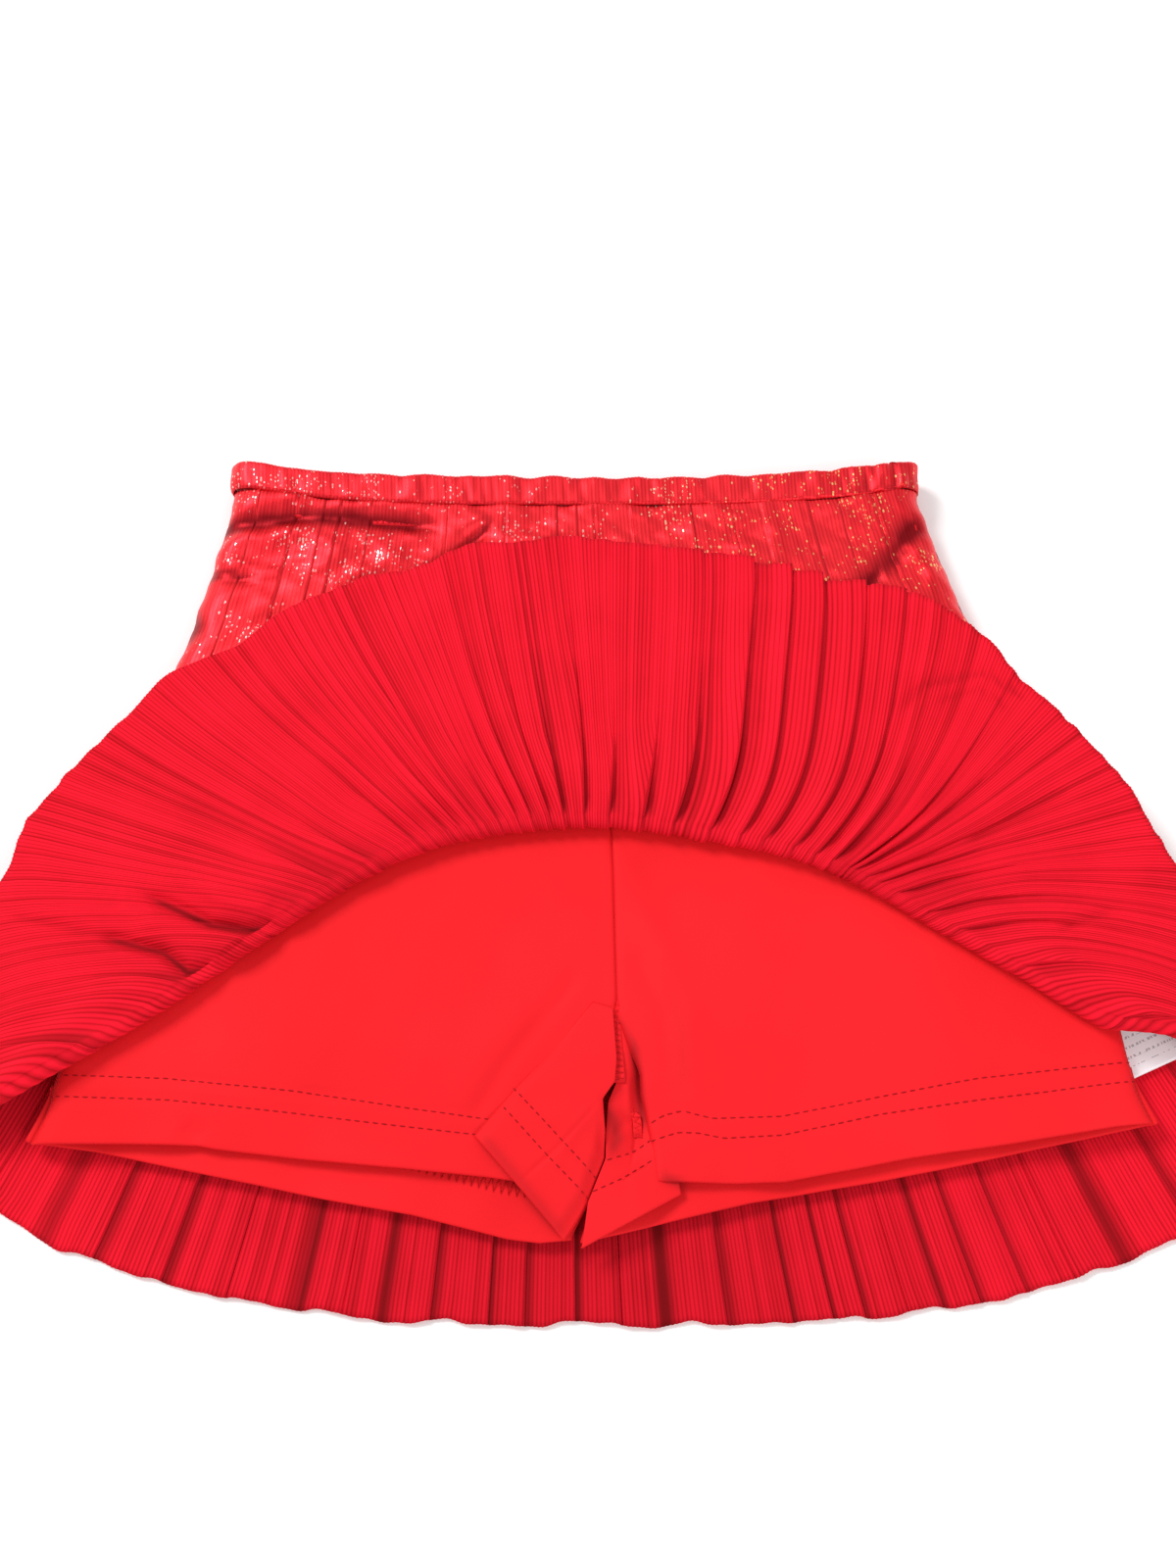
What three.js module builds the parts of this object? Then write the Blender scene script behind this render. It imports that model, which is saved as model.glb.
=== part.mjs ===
// A girl's cheer uniform: a foil-faced pleated skirt with jersey shorts sewn into its waistband.
// It lies on its back on a table. The front of the skirt is lifted and folded back over itself, so
// that its matt inside shows, and the shorts show below the fold.
//
// Millimetres, +X to the viewer's right, +Y towards the waistband, +Z up from the table. The origin is on
// the table, under the middle of the outline. Soft pieces are plain plates of their true outline.
import * as THREE from "three";

// ---- Driving sizes ----
const waistWidth = 262; // flat, across the relaxed waistband
const skirtLength = 316; // top of the waistband to the back hem, at the centre
const hemWidth = 490; // across the two points where the side seams end
const cornerRise = 58; // those points stand this far above the lowest point of the back hem
const hemPower = 3; // how late the back hem starts to rise towards them
const flareStart = 0.5; // share of the side's flare that is straight; the rest grows towards the hem

const waistbandDepth = 12;
const casingSkin = 0.8; // each wall of the folded waistband
const elasticThickness = 1.2;
const elasticDepth = 9.6;
const waistOpening = 11.5; // free height inside the flat waistband

const foldDrop = 147; // top of the waistband to the top of the folded edge
const foldRound = 55; // how widely the folded edge turns at its top
const rollWidth = 5; // width of the rolled edge itself
const flapReach = 110; // folded edge to the flap's hem, at the centre

const pleatedThickness = 3; // a pleated layer lying flat
const flapThickness = 6; // the turned-back layer, whose pleats stand open
const knitThickness = 0.8;

const crotchDrop = 242; // top of the waistband to the crotch
const legSideDrop = 254; // top of the waistband to the outer end of a leg's hem
const legEase = 47.5; // how far the leg's hem ends inside the skirt's side, on top of the seam
const frontHemDip = 15; // how far the front hem drops from its outer end to the crotch
const backHemDip = 35; // the same for the back hem, which shows below the front one
const hemTurnUp = 20; // depth of the hem's turned-up layer
const lowerRow = 14; // height of the hem's lower thread row above its edge
const rowPitch = 5; // between the two thread rows
const innerLegWidth = 45; // how far the folded inner leg reaches over the leg
const innerLegRise = 33; // crotch up to the top of that fold
const legParting = 6; // between the two legs at the back hem

const skirtSeamWidth = 4; // overlocked edge of the skirt's side seam
const shortsSeamWidth = 3;
const centreSeamWidth = 6;
const waistSeamDepth = 8;
const threadWidth = 0.7;
const threadThickness = 0.4;

const labelLength = 46;
const labelWidth = 30;
const labelLeaf = 0.3; // thickness of one satin leaf
const labelStep = 6; // the upper leaf is this much shorter
const labelSlant = 0.42; // radians, the way the label lies
const labelDrop = 212; // top of the waistband to the middle of its sewn end

const gap = 0.3; // clearance between any two pieces
const curveSteps = 28;

// ---- Levels: the layers from the table up ----
const backTop = pleatedThickness;
const labelLowZ = backTop + gap;
const labelHighZ = labelLowZ + labelLeaf + gap;
const shortsBackZ = labelHighZ + labelLeaf + gap;
const shortsBackTop = shortsBackZ + knitThickness;
const backTurnUpZ = shortsBackTop + gap;
const backTurnUpTop = backTurnUpZ + knitThickness;
const legOpening = 6; // free height inside a leg
const frontTurnUpZ = backTurnUpTop + legOpening;
const frontTurnUpTop = frontTurnUpZ + knitThickness;
const shortsFrontZ = frontTurnUpTop + gap;
const shortsFrontTop = shortsFrontZ + knitThickness;
const frontSeamZ = shortsFrontTop + gap; // thread rows, waist seam and inner legs lie on the shorts' front
const innerLegTop = frontSeamZ + knitThickness;
const frontZ = frontSeamZ + threadThickness + gap;
const frontTop = frontZ + pleatedThickness;
const flapZ = frontTop + gap;
const flapTop = flapZ + flapThickness;

// ---- Outlines ----
const yTop = skirtLength / 2;
const yHem = -skirtLength / 2;
const ySeam = yTop - waistbandDepth; // the seam below the waistband
const yCorner = yHem + cornerRise;
const waistHalf = waistWidth / 2;
const hemHalf = hemWidth / 2;
const foldApex = yTop - foldDrop;
const yHinge = foldApex + rollWidth + gap; // the line that the flap turns about
const yCrotch = yTop - crotchDrop;
const yLegSide = yTop - legSideDrop;

// Half width of the skirt at height y.
function sideX(y) {
  const t = (ySeam - y) / (ySeam - yCorner);
  return waistHalf + (hemHalf - waistHalf) * (flareStart * t + (1 - flareStart) * t * t);
}

// Half width of the shorts at height y: inside the skirt's side seam, and further inside towards the hem.
function shortsSideX(y) {
  const t = (ySeam - y) / (ySeam - yLegSide);
  return sideX(y) - skirtSeamWidth - 2 * gap - legEase * t;
}

function backHemY(x) {
  return yHem + cornerRise * Math.abs(x / hemHalf) ** hemPower;
}

// The folded edge is a hyperbola that ends at the hem's corners.
const foldFall = foldApex - yCorner;
const foldSlope = Math.sqrt((foldFall + foldRound) ** 2 - foldRound ** 2) / hemHalf;
function foldY(x) {
  return foldApex + foldRound - Math.hypot(foldRound, foldSlope * x);
}

// The x at which the folded edge is at height y.
function foldX(y) {
  return Math.sqrt((foldApex + foldRound - y) ** 2 - foldRound ** 2) / foldSlope;
}

// The flap's hem is the circle through the two corners and the flap's highest point.
const flapRise = foldApex + flapReach - yCorner;
const flapRadius = (hemHalf ** 2 + flapRise ** 2) / (2 * flapRise);
const flapCentreY = foldApex + flapReach - flapRadius;
function flapX(y) {
  return Math.sqrt(flapRadius ** 2 - (y - flapCentreY) ** 2);
}

// Points of a curve y = f(x), from x0 to x1.
function alongX(f, x0, x1, steps = curveSteps) {
  return Array.from({ length: steps + 1 }, (_, i) => {
    const x = x0 + ((x1 - x0) * i) / steps;
    return [x, f(x)];
  });
}

// Points of a curve x = f(y), from y0 to y1.
function alongY(f, y0, y1, steps = curveSteps) {
  return alongX(f, y0, y1, steps).map(([y, x]) => [x, y]);
}

function mirrored(points) {
  return points.map(([x, y]) => [-x, y]).reverse();
}

// ---- Materials ----
function fabric(color, roughness, metalness = 0) {
  return new THREE.MeshStandardMaterial({ color, roughness, metalness });
}
const foil = fabric(0xc4122a, 0.35, 0.6);
const mattPleat = fabric(0xe0152c, 0.85);
const jersey = fabric(0xf01e28, 0.8);
const elasticWeb = fabric(0xf2efe9, 0.9);
const thread = fabric(0xb80f1e, 0.7);
const satin = fabric(0xf5f3f1, 0.5);

// ---- Solids ----
const uniform = new THREE.Group();

function add(name, geometry, material) {
  const mesh = new THREE.Mesh(geometry, material);
  mesh.name = name;
  uniform.add(mesh);
  return mesh;
}

// A flat plate of an outline, from height z0 to z1.
function plate(points, z0, z1) {
  const outline = points.map(([x, y]) => new THREE.Vector2(x, y));
  if (THREE.ShapeUtils.area(outline) < 0) outline.reverse();
  const shape = new THREE.Shape(outline);
  return new THREE.ExtrudeGeometry(shape, { depth: z1 - z0, bevelEnabled: false }).translate(0, 0, z0);
}

// A ribbon of the given width along a line of points, from height z0 to z1.
function ribbon(line, width, z0, z1) {
  const sides = [1, -1].map((side) =>
    line.map(([x, y], i) => {
      const [ax, ay] = line[Math.max(i - 1, 0)];
      const [bx, by] = line[Math.min(i + 1, line.length - 1)];
      const long = Math.hypot(bx - ax, by - ay);
      const half = (side * width) / 2;
      return [x - (half * (by - ay)) / long, y + (half * (bx - ax)) / long];
    }),
  );
  return plate([...sides[0], ...sides[1].reverse()], z0, z1);
}

// Waistband: a flat loop round the Y axis, whose wall has room for the elastic.
const wall = 2 * (casingSkin + gap) + elasticThickness;
const bandCentreZ = wall + waistOpening / 2;
const bandTop = 2 * bandCentreZ;
const bandRadius = bandCentreZ - wall / 2; // of the wall's middle, where it turns at a side
const endSteps = 8;
const quarter = Math.PI / 2;

// Stations round one end of the loop's wall, as [x, z, outward x, outward z], from angle a0 to a1.
// The end is 1 on the right and -1 on the left, and angles run anticlockwise seen from the hem.
function turn(end, a0, a1) {
  const centreX = end * (waistHalf - wall / 2 - bandRadius);
  return Array.from({ length: endSteps + 1 }, (_, i) => {
    const a = a0 + ((a1 - a0) * i) / endSteps;
    const c = Math.cos(a);
    const s = Math.sin(a);
    return [centreX + bandRadius * c, bandCentreZ + bandRadius * s, c, s];
  });
}

// A section of [outward, y] points swept along stations of the loop.
function sweep(section, stations, closed) {
  const vertices = stations.flatMap(([x, z, nx, nz]) =>
    section.map(([n, y]) => [x + n * nx, y, z + n * nz]),
  );
  const size = section.length;
  const rings = closed ? stations.length : stations.length - 1;
  const triangles = [];
  for (let i = 0; i < rings; i++) {
    const here = i * size;
    const next = ((i + 1) % stations.length) * size;
    for (let k = 0; k < size; k++) {
      const l = (k + 1) % size;
      triangles.push([here + k, here + l, next + k], [here + l, next + l, next + k]);
    }
  }
  if (!closed) {
    const outline = section.map(([n, y]) => new THREE.Vector2(n, y));
    const last = (stations.length - 1) * size;
    for (const [a, b, c] of THREE.ShapeUtils.triangulateShape(outline, [])) {
      triangles.push([a, c, b], [last + a, last + b, last + c]);
    }
  }
  const geometry = new THREE.BufferGeometry();
  geometry.setAttribute("position", new THREE.Float32BufferAttribute(vertices.flat(), 3));
  geometry.setIndex(triangles.flat());
  return geometry.toNonIndexed();
}

// The casing is one strip folded over the elastic: closed along the top edge, open at the seam.
function casing(front) {
  const half = wall / 2;
  const section = [
    [half, ySeam],
    [half, yTop],
    [-half, yTop],
    [-half, ySeam],
    [-half + casingSkin, ySeam],
    [-half + casingSkin, yTop - casingSkin],
    [half - casingSkin, yTop - casingSkin],
    [half - casingSkin, ySeam],
  ];
  const parting = gap / 2 / bandRadius; // the halves meet at the side seams
  const stations = front
    ? [...turn(1, parting, quarter), ...turn(-1, quarter, 2 * quarter - parting)]
    : [...turn(-1, 2 * quarter + parting, 3 * quarter), ...turn(1, -quarter, -parting)];
  return sweep(section, stations, false);
}

function elastic() {
  const half = elasticThickness / 2;
  const low = yTop - casingSkin - gap - elasticDepth;
  const high = yTop - casingSkin - gap;
  const section = [
    [half, low],
    [half, high],
    [-half, high],
    [-half, low],
  ];
  const stations = [...turn(1, -quarter, quarter), ...turn(-1, quarter, 3 * quarter)];
  return sweep(section, stations, true);
}

add("waistband_front", casing(true), foil);
add("waistband_back", casing(false), foil);
add("waist_elastic", elastic(), elasticWeb);

// The waistband's thread rows: outside on the front, inside on the back, which lies on the table.
const bandRowX = waistHalf - wall - bandRadius;
const bandRowY = ySeam + casingSkin + threadWidth;
const bandRow = [
  [-bandRowX, bandRowY],
  [bandRowX, bandRowY],
];
function row(line, z, width = threadWidth) {
  return ribbon(line, width, z, z + threadThickness);
}
add("waistband_stitch_front", row(bandRow, bandTop + gap), thread);
add("waistband_stitch_back", row(bandRow, wall + gap), thread);

// Skirt back, outside down, inside up.
const panelTop = ySeam - gap;
const rightSide = alongY(sideX, yCorner, panelTop);
const leftSide = mirrored(rightSide);
const backHem = alongX(backHemY, -hemHalf, hemHalf, 2 * curveSteps);
const backOutline = [...backHem, ...rightSide.slice(1), ...leftSide.slice(0, -1)];
add("back_panel", plate(backOutline, 0, backTop), mattPleat);

// Front of the skirt, from the waistband down to the folded edge.
const cornerInset = 16; // the front's layers end this far inside the hem's corners
const frontEnd = hemHalf - cornerInset;
function innerEdgeY(x) {
  return foldY(x) + rollWidth + gap;
}
function sideYAt(x) {
  const a = (1 - flareStart) * (hemHalf - waistHalf);
  const b = flareStart * (hemHalf - waistHalf);
  const t = (-b + Math.sqrt(b * b + 4 * a * (x - waistHalf))) / (2 * a);
  return ySeam - t * (ySeam - yCorner);
}
const frontLower = alongX(innerEdgeY, -frontEnd, frontEnd, 2 * curveSteps);
const frontSide = alongY(sideX, sideYAt(frontEnd), panelTop);
add(
  "front_panel_upper",
  plate([...frontLower, ...frontSide, ...mirrored(frontSide)], frontZ, frontTop),
  foil,
);

// The rolled edge where the front turns back on itself.
const rollLower = alongX(foldY, -frontEnd, frontEnd, 2 * curveSteps);
const rollUpper = rollLower.map(([x, y]) => [x, y + rollWidth]).reverse();
add("front_fold_roll", plate([...rollLower, ...rollUpper], frontZ, flapTop), mattPleat);

// The turned-back layer: a flap that lifts above the hinge line, and a wing on each side below it.
const flapSide = alongY(flapX, yHinge + gap, flapCentreY + flapRadius * Math.cos(0.02));
add("front_flap", plate([...flapSide, ...mirrored(flapSide)], flapZ, flapTop), mattPleat);

const wingTop = yHinge - gap;
const wingTip = rollWidth; // a wing starts where it is this wide
const wingStart = foldX(wingTop - rollWidth - gap - wingTip);
function wing() {
  const lower = alongX(innerEdgeY, wingStart, frontEnd);
  const outer = alongY(flapX, innerEdgeY(frontEnd), wingTop);
  return [...lower, ...outer, [wingStart, wingTop]];
}
add("front_wing_right", plate(wing(), flapZ, flapTop), mattPleat);
add("front_wing_left", plate(mirrored(wing()), flapZ, flapTop), mattPleat);

// The skirt's side seams, between the back and the front.
function skirtSeam() {
  const outer = alongY(sideX, sideYAt(frontEnd), panelTop);
  const inner = outer.map(([x, y]) => [x - skirtSeamWidth, y]).reverse();
  return [...outer, ...inner];
}
add("skirt_side_seam_right", plate(skirtSeam(), backTop + gap, frontZ - gap), thread);
add("skirt_side_seam_left", plate(mirrored(skirtSeam()), backTop + gap, frontZ - gap), thread);

// The seam that holds skirt and shorts to the waistband: one overlocked edge at the back, one at the front.
const waistSeamHalf = shortsSideX(panelTop);
function waistSeam(z0, z1) {
  return plate(
    [
      [-waistSeamHalf, panelTop - waistSeamDepth],
      [waistSeamHalf, panelTop - waistSeamDepth],
      [waistSeamHalf, panelTop],
      [-waistSeamHalf, panelTop],
    ],
    z0,
    z1,
  );
}
add("waist_seam_back", waistSeam(labelLowZ, shortsBackZ - gap), thread);
add("waist_seam_front", waistSeam(frontSeamZ, frontZ - gap), thread);

// ---- Shorts ----
const halfGap = gap / 2;
const legHalf = shortsSideX(yLegSide);
const yBackHem = yLegSide - backHemDip;
const innerEnd = legParting / 2; // x of a leg's inner edge at the back hem

// The hem of a leg, dipping by a quarter-sine from its outer end to its inner end, as far as outerX.
function hemLine(dip, innerX, rise = 0, outerX = legHalf) {
  const f = (x) => yLegSide + rise - dip * Math.cos((Math.PI / 2) * ((x - innerX) / (legHalf - innerX)));
  return alongX(f, innerX, outerX, curveSteps / 2);
}

function shortsSide(y0, y1) {
  return alongY(shortsSideX, y0, y1, curveSteps / 2);
}

function legFront() {
  const inner = innerLegWidth / 2;
  const hem = hemLine(frontHemDip, inner);
  return [...hem, ...shortsSide(yLegSide, panelTop).slice(1), [halfGap, panelTop], [halfGap, yCrotch]];
}

function legBack() {
  const hem = hemLine(backHemDip, innerEnd);
  return [...hem, ...shortsSide(yLegSide, panelTop).slice(1), [halfGap, panelTop], [halfGap, yCrotch]];
}

// The turned-up layer inside a hem and the thread rows along it end clear of the side seam.
const seamClear = shortsSeamWidth + 2 * gap;
const turnUpEnd = shortsSideX(yLegSide + hemTurnUp) - seamClear;
function turnUp(dip, innerX) {
  const lower = hemLine(dip, innerX, 0, turnUpEnd);
  const upper = lower.map(([x, y]) => [x, y + hemTurnUp]).reverse();
  return [...lower, ...upper];
}

// The inner leg is folded flat over the leg, with its hem running down to a point beside the crotch.
const innerTip = [innerEnd + gap, yBackHem];
const innerOuter = [innerLegWidth, yLegSide - 2 * gap];
function innerLeg() {
  return [
    [2 * gap, yCrotch],
    innerTip,
    innerOuter,
    [2 * gap + threadWidth, yCrotch + innerLegRise],
  ];
}

// A thread row on the inner leg, parallel to its hem.
const innerRowSpan = [0.3, 0.9]; // share of the hem's length
function innerRow(rise) {
  const dx = innerOuter[0] - innerTip[0];
  const dy = innerOuter[1] - innerTip[1];
  const long = Math.hypot(dx, dy);
  return alongX((t) => t, ...innerRowSpan, 2).map(([t]) => [
    innerTip[0] + dx * t - (dy / long) * rise,
    innerTip[1] + dy * t + (dx / long) * rise,
  ]);
}

function inseam() {
  const top = yCrotch - gap;
  return [
    [innerEnd, yBackHem + hemTurnUp / 2],
    [innerEnd + shortsSeamWidth, yBackHem + hemTurnUp / 2],
    [innerEnd + shortsSeamWidth, top],
    [halfGap + gap, top],
  ];
}

function shortsSeam() {
  const outer = shortsSide(yLegSide + gap, panelTop);
  const inner = outer.map(([x, y]) => [x - shortsSeamWidth, y]).reverse();
  return [...outer, ...inner];
}

const looperRise = lowerRow + rowPitch / 2;
const backInner = innerEnd + shortsSeamWidth + 2 * gap; // where the back's turned-up layer starts
const frontInner = innerLegWidth / 2;
for (const [side, flip] of [
  ["right", (points) => points],
  ["left", mirrored],
]) {
  const sew = (piece, geometry, material) => add("shorts_" + side + "_" + piece, geometry, material);
  const frontUp = turnUp(frontHemDip, frontInner);
  const backUp = turnUp(backHemDip, backInner);
  sew("front", plate(flip(legFront()), shortsFrontZ, shortsFrontTop), jersey);
  sew("back", plate(flip(legBack()), shortsBackZ, shortsBackTop), jersey);
  sew("front_turn_up", plate(flip(frontUp), frontTurnUpZ, frontTurnUpTop), jersey);
  sew("back_turn_up", plate(flip(backUp), backTurnUpZ, backTurnUpTop), jersey);
  sew("inner_leg", plate(flip(innerLeg()), frontSeamZ, innerLegTop), jersey);
  sew("side_seam", plate(flip(shortsSeam()), backTurnUpZ, frontTurnUpTop), thread);
  sew("inseam", plate(flip(inseam()), backTurnUpZ, frontTurnUpTop), thread);
  for (const [which, rise] of [
    ["lower", lowerRow],
    ["upper", lowerRow + rowPitch],
  ]) {
    const hem = hemLine(frontHemDip, innerLegWidth + rowPitch, rise, turnUpEnd);
    sew("hem_stitch_" + which, row(flip(hem), frontSeamZ), thread);
    sew("inner_stitch_" + which, row(flip(innerRow(rise)), innerLegTop + gap), thread);
  }
  const looper = hemLine(backHemDip, backInner, looperRise, turnUpEnd);
  sew("back_looper_stitch", row(flip(looper), backTurnUpTop + gap, 2 * threadWidth), thread);
}

// The overlocked centre seams, inside the shorts from the waist to the crotch.
function centreSeam(z0, z1) {
  const half = centreSeamWidth / 2;
  const low = yCrotch + centreSeamWidth;
  return plate(
    [
      [-half, low],
      [half, low],
      [half, panelTop],
      [-half, panelTop],
    ],
    z0,
    z1,
  );
}
add("shorts_centre_front_seam", centreSeam(frontTurnUpZ, frontTurnUpTop), thread);
add("shorts_centre_back_seam", centreSeam(backTurnUpZ, backTurnUpTop), thread);

// Care label: two satin leaves sewn into the side seam, between the skirt's back and the shorts.
const yLabel = yTop - labelDrop;
const xLabel = sideX(yLabel) - skirtSeamWidth - 2 * gap - (labelWidth / 2) * Math.sin(labelSlant);
function leaf(length, z0) {
  const half = labelWidth / 2;
  const outline = [
    [0, -half],
    [0, half],
    [-length, half],
    [-length, -half],
  ];
  return plate(outline, z0, z0 + labelLeaf).rotateZ(labelSlant).translate(xLabel, yLabel, 0);
}
add("care_label_lower_leaf", leaf(labelLength, labelLowZ), satin);
add("care_label_upper_leaf", leaf(labelLength - labelStep, labelHighZ), satin);

export default uniform;
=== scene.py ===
"""A child's cheer skirt with jersey shorts sewn into its waistband. It lies on its back, and the front of
the skirt is folded back up over itself, so that its matt inside shows as a fan above the shorts."""
import math

import bpy
import numpy as np
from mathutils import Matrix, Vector
from mathutils.bvhtree import BVHTree


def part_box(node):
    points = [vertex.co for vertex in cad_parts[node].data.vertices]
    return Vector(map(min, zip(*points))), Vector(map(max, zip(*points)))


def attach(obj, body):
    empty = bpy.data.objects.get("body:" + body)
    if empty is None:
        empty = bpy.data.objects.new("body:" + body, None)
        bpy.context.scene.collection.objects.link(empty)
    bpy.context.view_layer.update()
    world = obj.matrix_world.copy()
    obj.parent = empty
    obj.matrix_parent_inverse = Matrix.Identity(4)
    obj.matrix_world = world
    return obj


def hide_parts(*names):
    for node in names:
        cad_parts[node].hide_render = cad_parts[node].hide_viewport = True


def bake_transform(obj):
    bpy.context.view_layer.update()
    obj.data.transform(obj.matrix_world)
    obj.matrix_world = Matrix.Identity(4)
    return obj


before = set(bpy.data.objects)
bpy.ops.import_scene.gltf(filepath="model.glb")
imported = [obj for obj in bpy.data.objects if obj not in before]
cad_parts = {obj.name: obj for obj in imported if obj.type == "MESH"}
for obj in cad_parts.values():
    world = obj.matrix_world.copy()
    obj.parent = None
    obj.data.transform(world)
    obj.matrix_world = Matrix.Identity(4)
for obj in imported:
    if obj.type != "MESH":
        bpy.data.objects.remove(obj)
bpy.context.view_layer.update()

MM = 0.001
GARMENT = "garment"

# ---- Sizes, in millimetres, as the solids have them ----


def node_box(name):
    """The corners of a solid's box, in millimetres."""
    low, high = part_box(name)
    return np.array(low) / MM, np.array(high) / MM


band_low, band_high = node_box("waistband_front")
back_low, back_high = node_box("back_panel")
flap_low, flap_high = node_box("front_flap")
upper_low, upper_high = node_box("front_panel_upper")
roll_high = node_box("front_fold_roll")[1]

Y_TOP = band_high[1]
Y_SEAM = band_low[1]
Y_HEM = back_low[1]
HEM_HALF = back_high[0]
WAIST_HALF = band_high[0]
BAND_TOP = band_high[2]
CORNER_RISE = 58.0
Y_CORNER = Y_HEM + CORNER_RISE
FOLD_APEX = roll_high[1] - 5.0
FOLD_ROUND = 55.0
PANEL_LOW_Z = upper_low[2]
PANEL_TOP_Z = upper_high[2]
LEG_EASE = 47.5
RIB_PITCH = 1.4

flap_rise = flap_high[1] - Y_CORNER
FLAP_RADIUS = (HEM_HALF**2 + flap_rise**2) / (2 * flap_rise)
FLAP_CENTRE_Y = flap_high[1] - FLAP_RADIUS
FLAP_SPAN = math.atan2(HEM_HALF, Y_CORNER - FLAP_CENTRE_Y)

fold_fall = FOLD_APEX - Y_CORNER
FOLD_SLOPE = math.sqrt((fold_fall + FOLD_ROUND) ** 2 - FOLD_ROUND**2) / HEM_HALF


def smooth(t):
    t = np.clip(t, 0.0, 1.0)
    return t * t * (3 - 2 * t)


def bell(x, centre, width):
    return np.exp(-(((x - centre) / width) ** 2))


def together(*parts):
    """Grids of one number each, made one grid of points."""
    return np.stack(np.broadcast_arrays(*parts), -1)


def rounded(inset):
    """How far a rounded edge falls away, for a share of its width from 0 at the edge to 1."""
    return 1 - np.sqrt(1 - (1 - np.clip(inset, 0, 1)) ** 2)


def fold_drape(x):
    """How far the folded edge lies off its even curve: full twice, low on the left, lifted near the right."""
    full = 6.5 * bell(x, 82, 38) + 4.6 * bell(x, -60, 32) + 1.6 * bell(x, 0, 35)
    low = -10.0 * smooth((-85 - x) / 85) - 2.5 * bell(x, 166, 16)
    lifted = 8.0 * smooth((x - 172) / 30)
    return (full + low + lifted) * smooth((HEM_HALF - np.abs(x)) / 30)


def fold_y(x):
    return FOLD_APEX + FOLD_ROUND - np.hypot(FOLD_ROUND, FOLD_SLOPE * x) + fold_drape(x)


def corner_droop(x):
    """How far the skirt's two outer corners hang down."""
    return 8.5 * smooth((np.abs(x) - 192) / 48)


def side_x(y):
    t = (Y_SEAM - y) / (Y_SEAM - Y_CORNER)
    return WAIST_HALF + (HEM_HALF - WAIST_HALF) * (0.5 * t + 0.5 * t * np.abs(t))


def back_hem_y(x):
    return Y_HEM + CORNER_RISE * np.abs(x / HEM_HALF) ** 3


def lean(y):
    """The garment lies a little aslant: its waist to the left, its hem to the right."""
    return -0.045 * y + 0.5


def waves(x, y, long_x, long_y, seed, octaves=7):
    """Soft, irregular waves between about -1 and 1, of the given lengths along x and y."""
    rng = np.random.default_rng(seed)
    out = 0.0
    for _ in range(octaves):
        turn = rng.uniform(0, 2 * math.pi)
        fx = rng.normal() / long_x
        fy = rng.normal() / long_y
        out = out + np.sin(2 * math.pi * (fx * x + fy * y) + turn)
    return out / math.sqrt(octaves) / 1.2


def line(x, y, points, width, height):
    """A rounded ridge along a line of points, which fades out at its two ends."""
    x, y = np.broadcast_arrays(x, y)
    pts = np.asarray(points, float)
    total = np.linalg.norm(np.diff(pts, axis=0), axis=1).sum()
    best = np.full(x.shape, 1e9)
    place = np.zeros(x.shape)
    gone = 0.0
    for (x0, y0), (x1, y1) in zip(pts[:-1], pts[1:]):
        long = math.hypot(x1 - x0, y1 - y0)
        t = np.clip(((x - x0) * (x1 - x0) + (y - y0) * (y1 - y0)) / long**2, 0, 1)
        off = np.hypot(x - x0 - t * (x1 - x0), y - y0 - t * (y1 - y0))
        near = off < best
        best = np.where(near, off, best)
        place = np.where(near, gone + t * long, place)
        gone += long
    ease = min(0.3 * total, 8.0)
    ends = smooth(place / ease) * smooth((total - place) / ease)
    return height * bell(best, 0, width) * (0.15 + 0.85 * ends)


# ---- Meshes ----


def make_object(name, verts, faces, uvs=None, lining=None, attributes=None):
    """A mesh piece from points in millimetres. lining says which faces belong to the cloth's other side."""
    mesh = bpy.data.meshes.new(name)
    mesh.from_pydata((np.asarray(verts) * MM).tolist(), [], faces)
    if lining is not None:
        layer = mesh.attributes.new("lining", "BOOLEAN", "FACE")
        layer.data.foreach_set("value", np.asarray(lining, bool))
    mesh.polygons.foreach_set("use_smooth", np.ones(len(mesh.polygons), bool))
    if uvs is not None:
        layer = mesh.uv_layers.new(name="weave")
        corners = np.empty(len(mesh.loops), np.int32)
        mesh.loops.foreach_get("vertex_index", corners)
        layer.data.foreach_set("uv", np.asarray(uvs)[corners].ravel())
    for key, values in (attributes or {}).items():
        whole = key == "rib_number"
        layer = mesh.attributes.new(key, "INT" if whole else "FLOAT", "POINT")
        layer.data.foreach_set("value", np.asarray(values, np.int32 if whole else np.float32))
    mesh.update()
    obj = bpy.data.objects.new(name, mesh)
    bpy.context.scene.collection.objects.link(obj)
    return obj


def plain(obj, material):
    obj.data.materials.append(material)
    return obj


def grid_normals(points):
    """Unit normals of a grid of points, from its neighbours."""
    across = np.gradient(points, axis=1)
    along = np.gradient(points, axis=0)
    n = np.cross(across, along)
    return n / np.maximum(np.linalg.norm(n, axis=2, keepdims=True), 1e-9)


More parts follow.
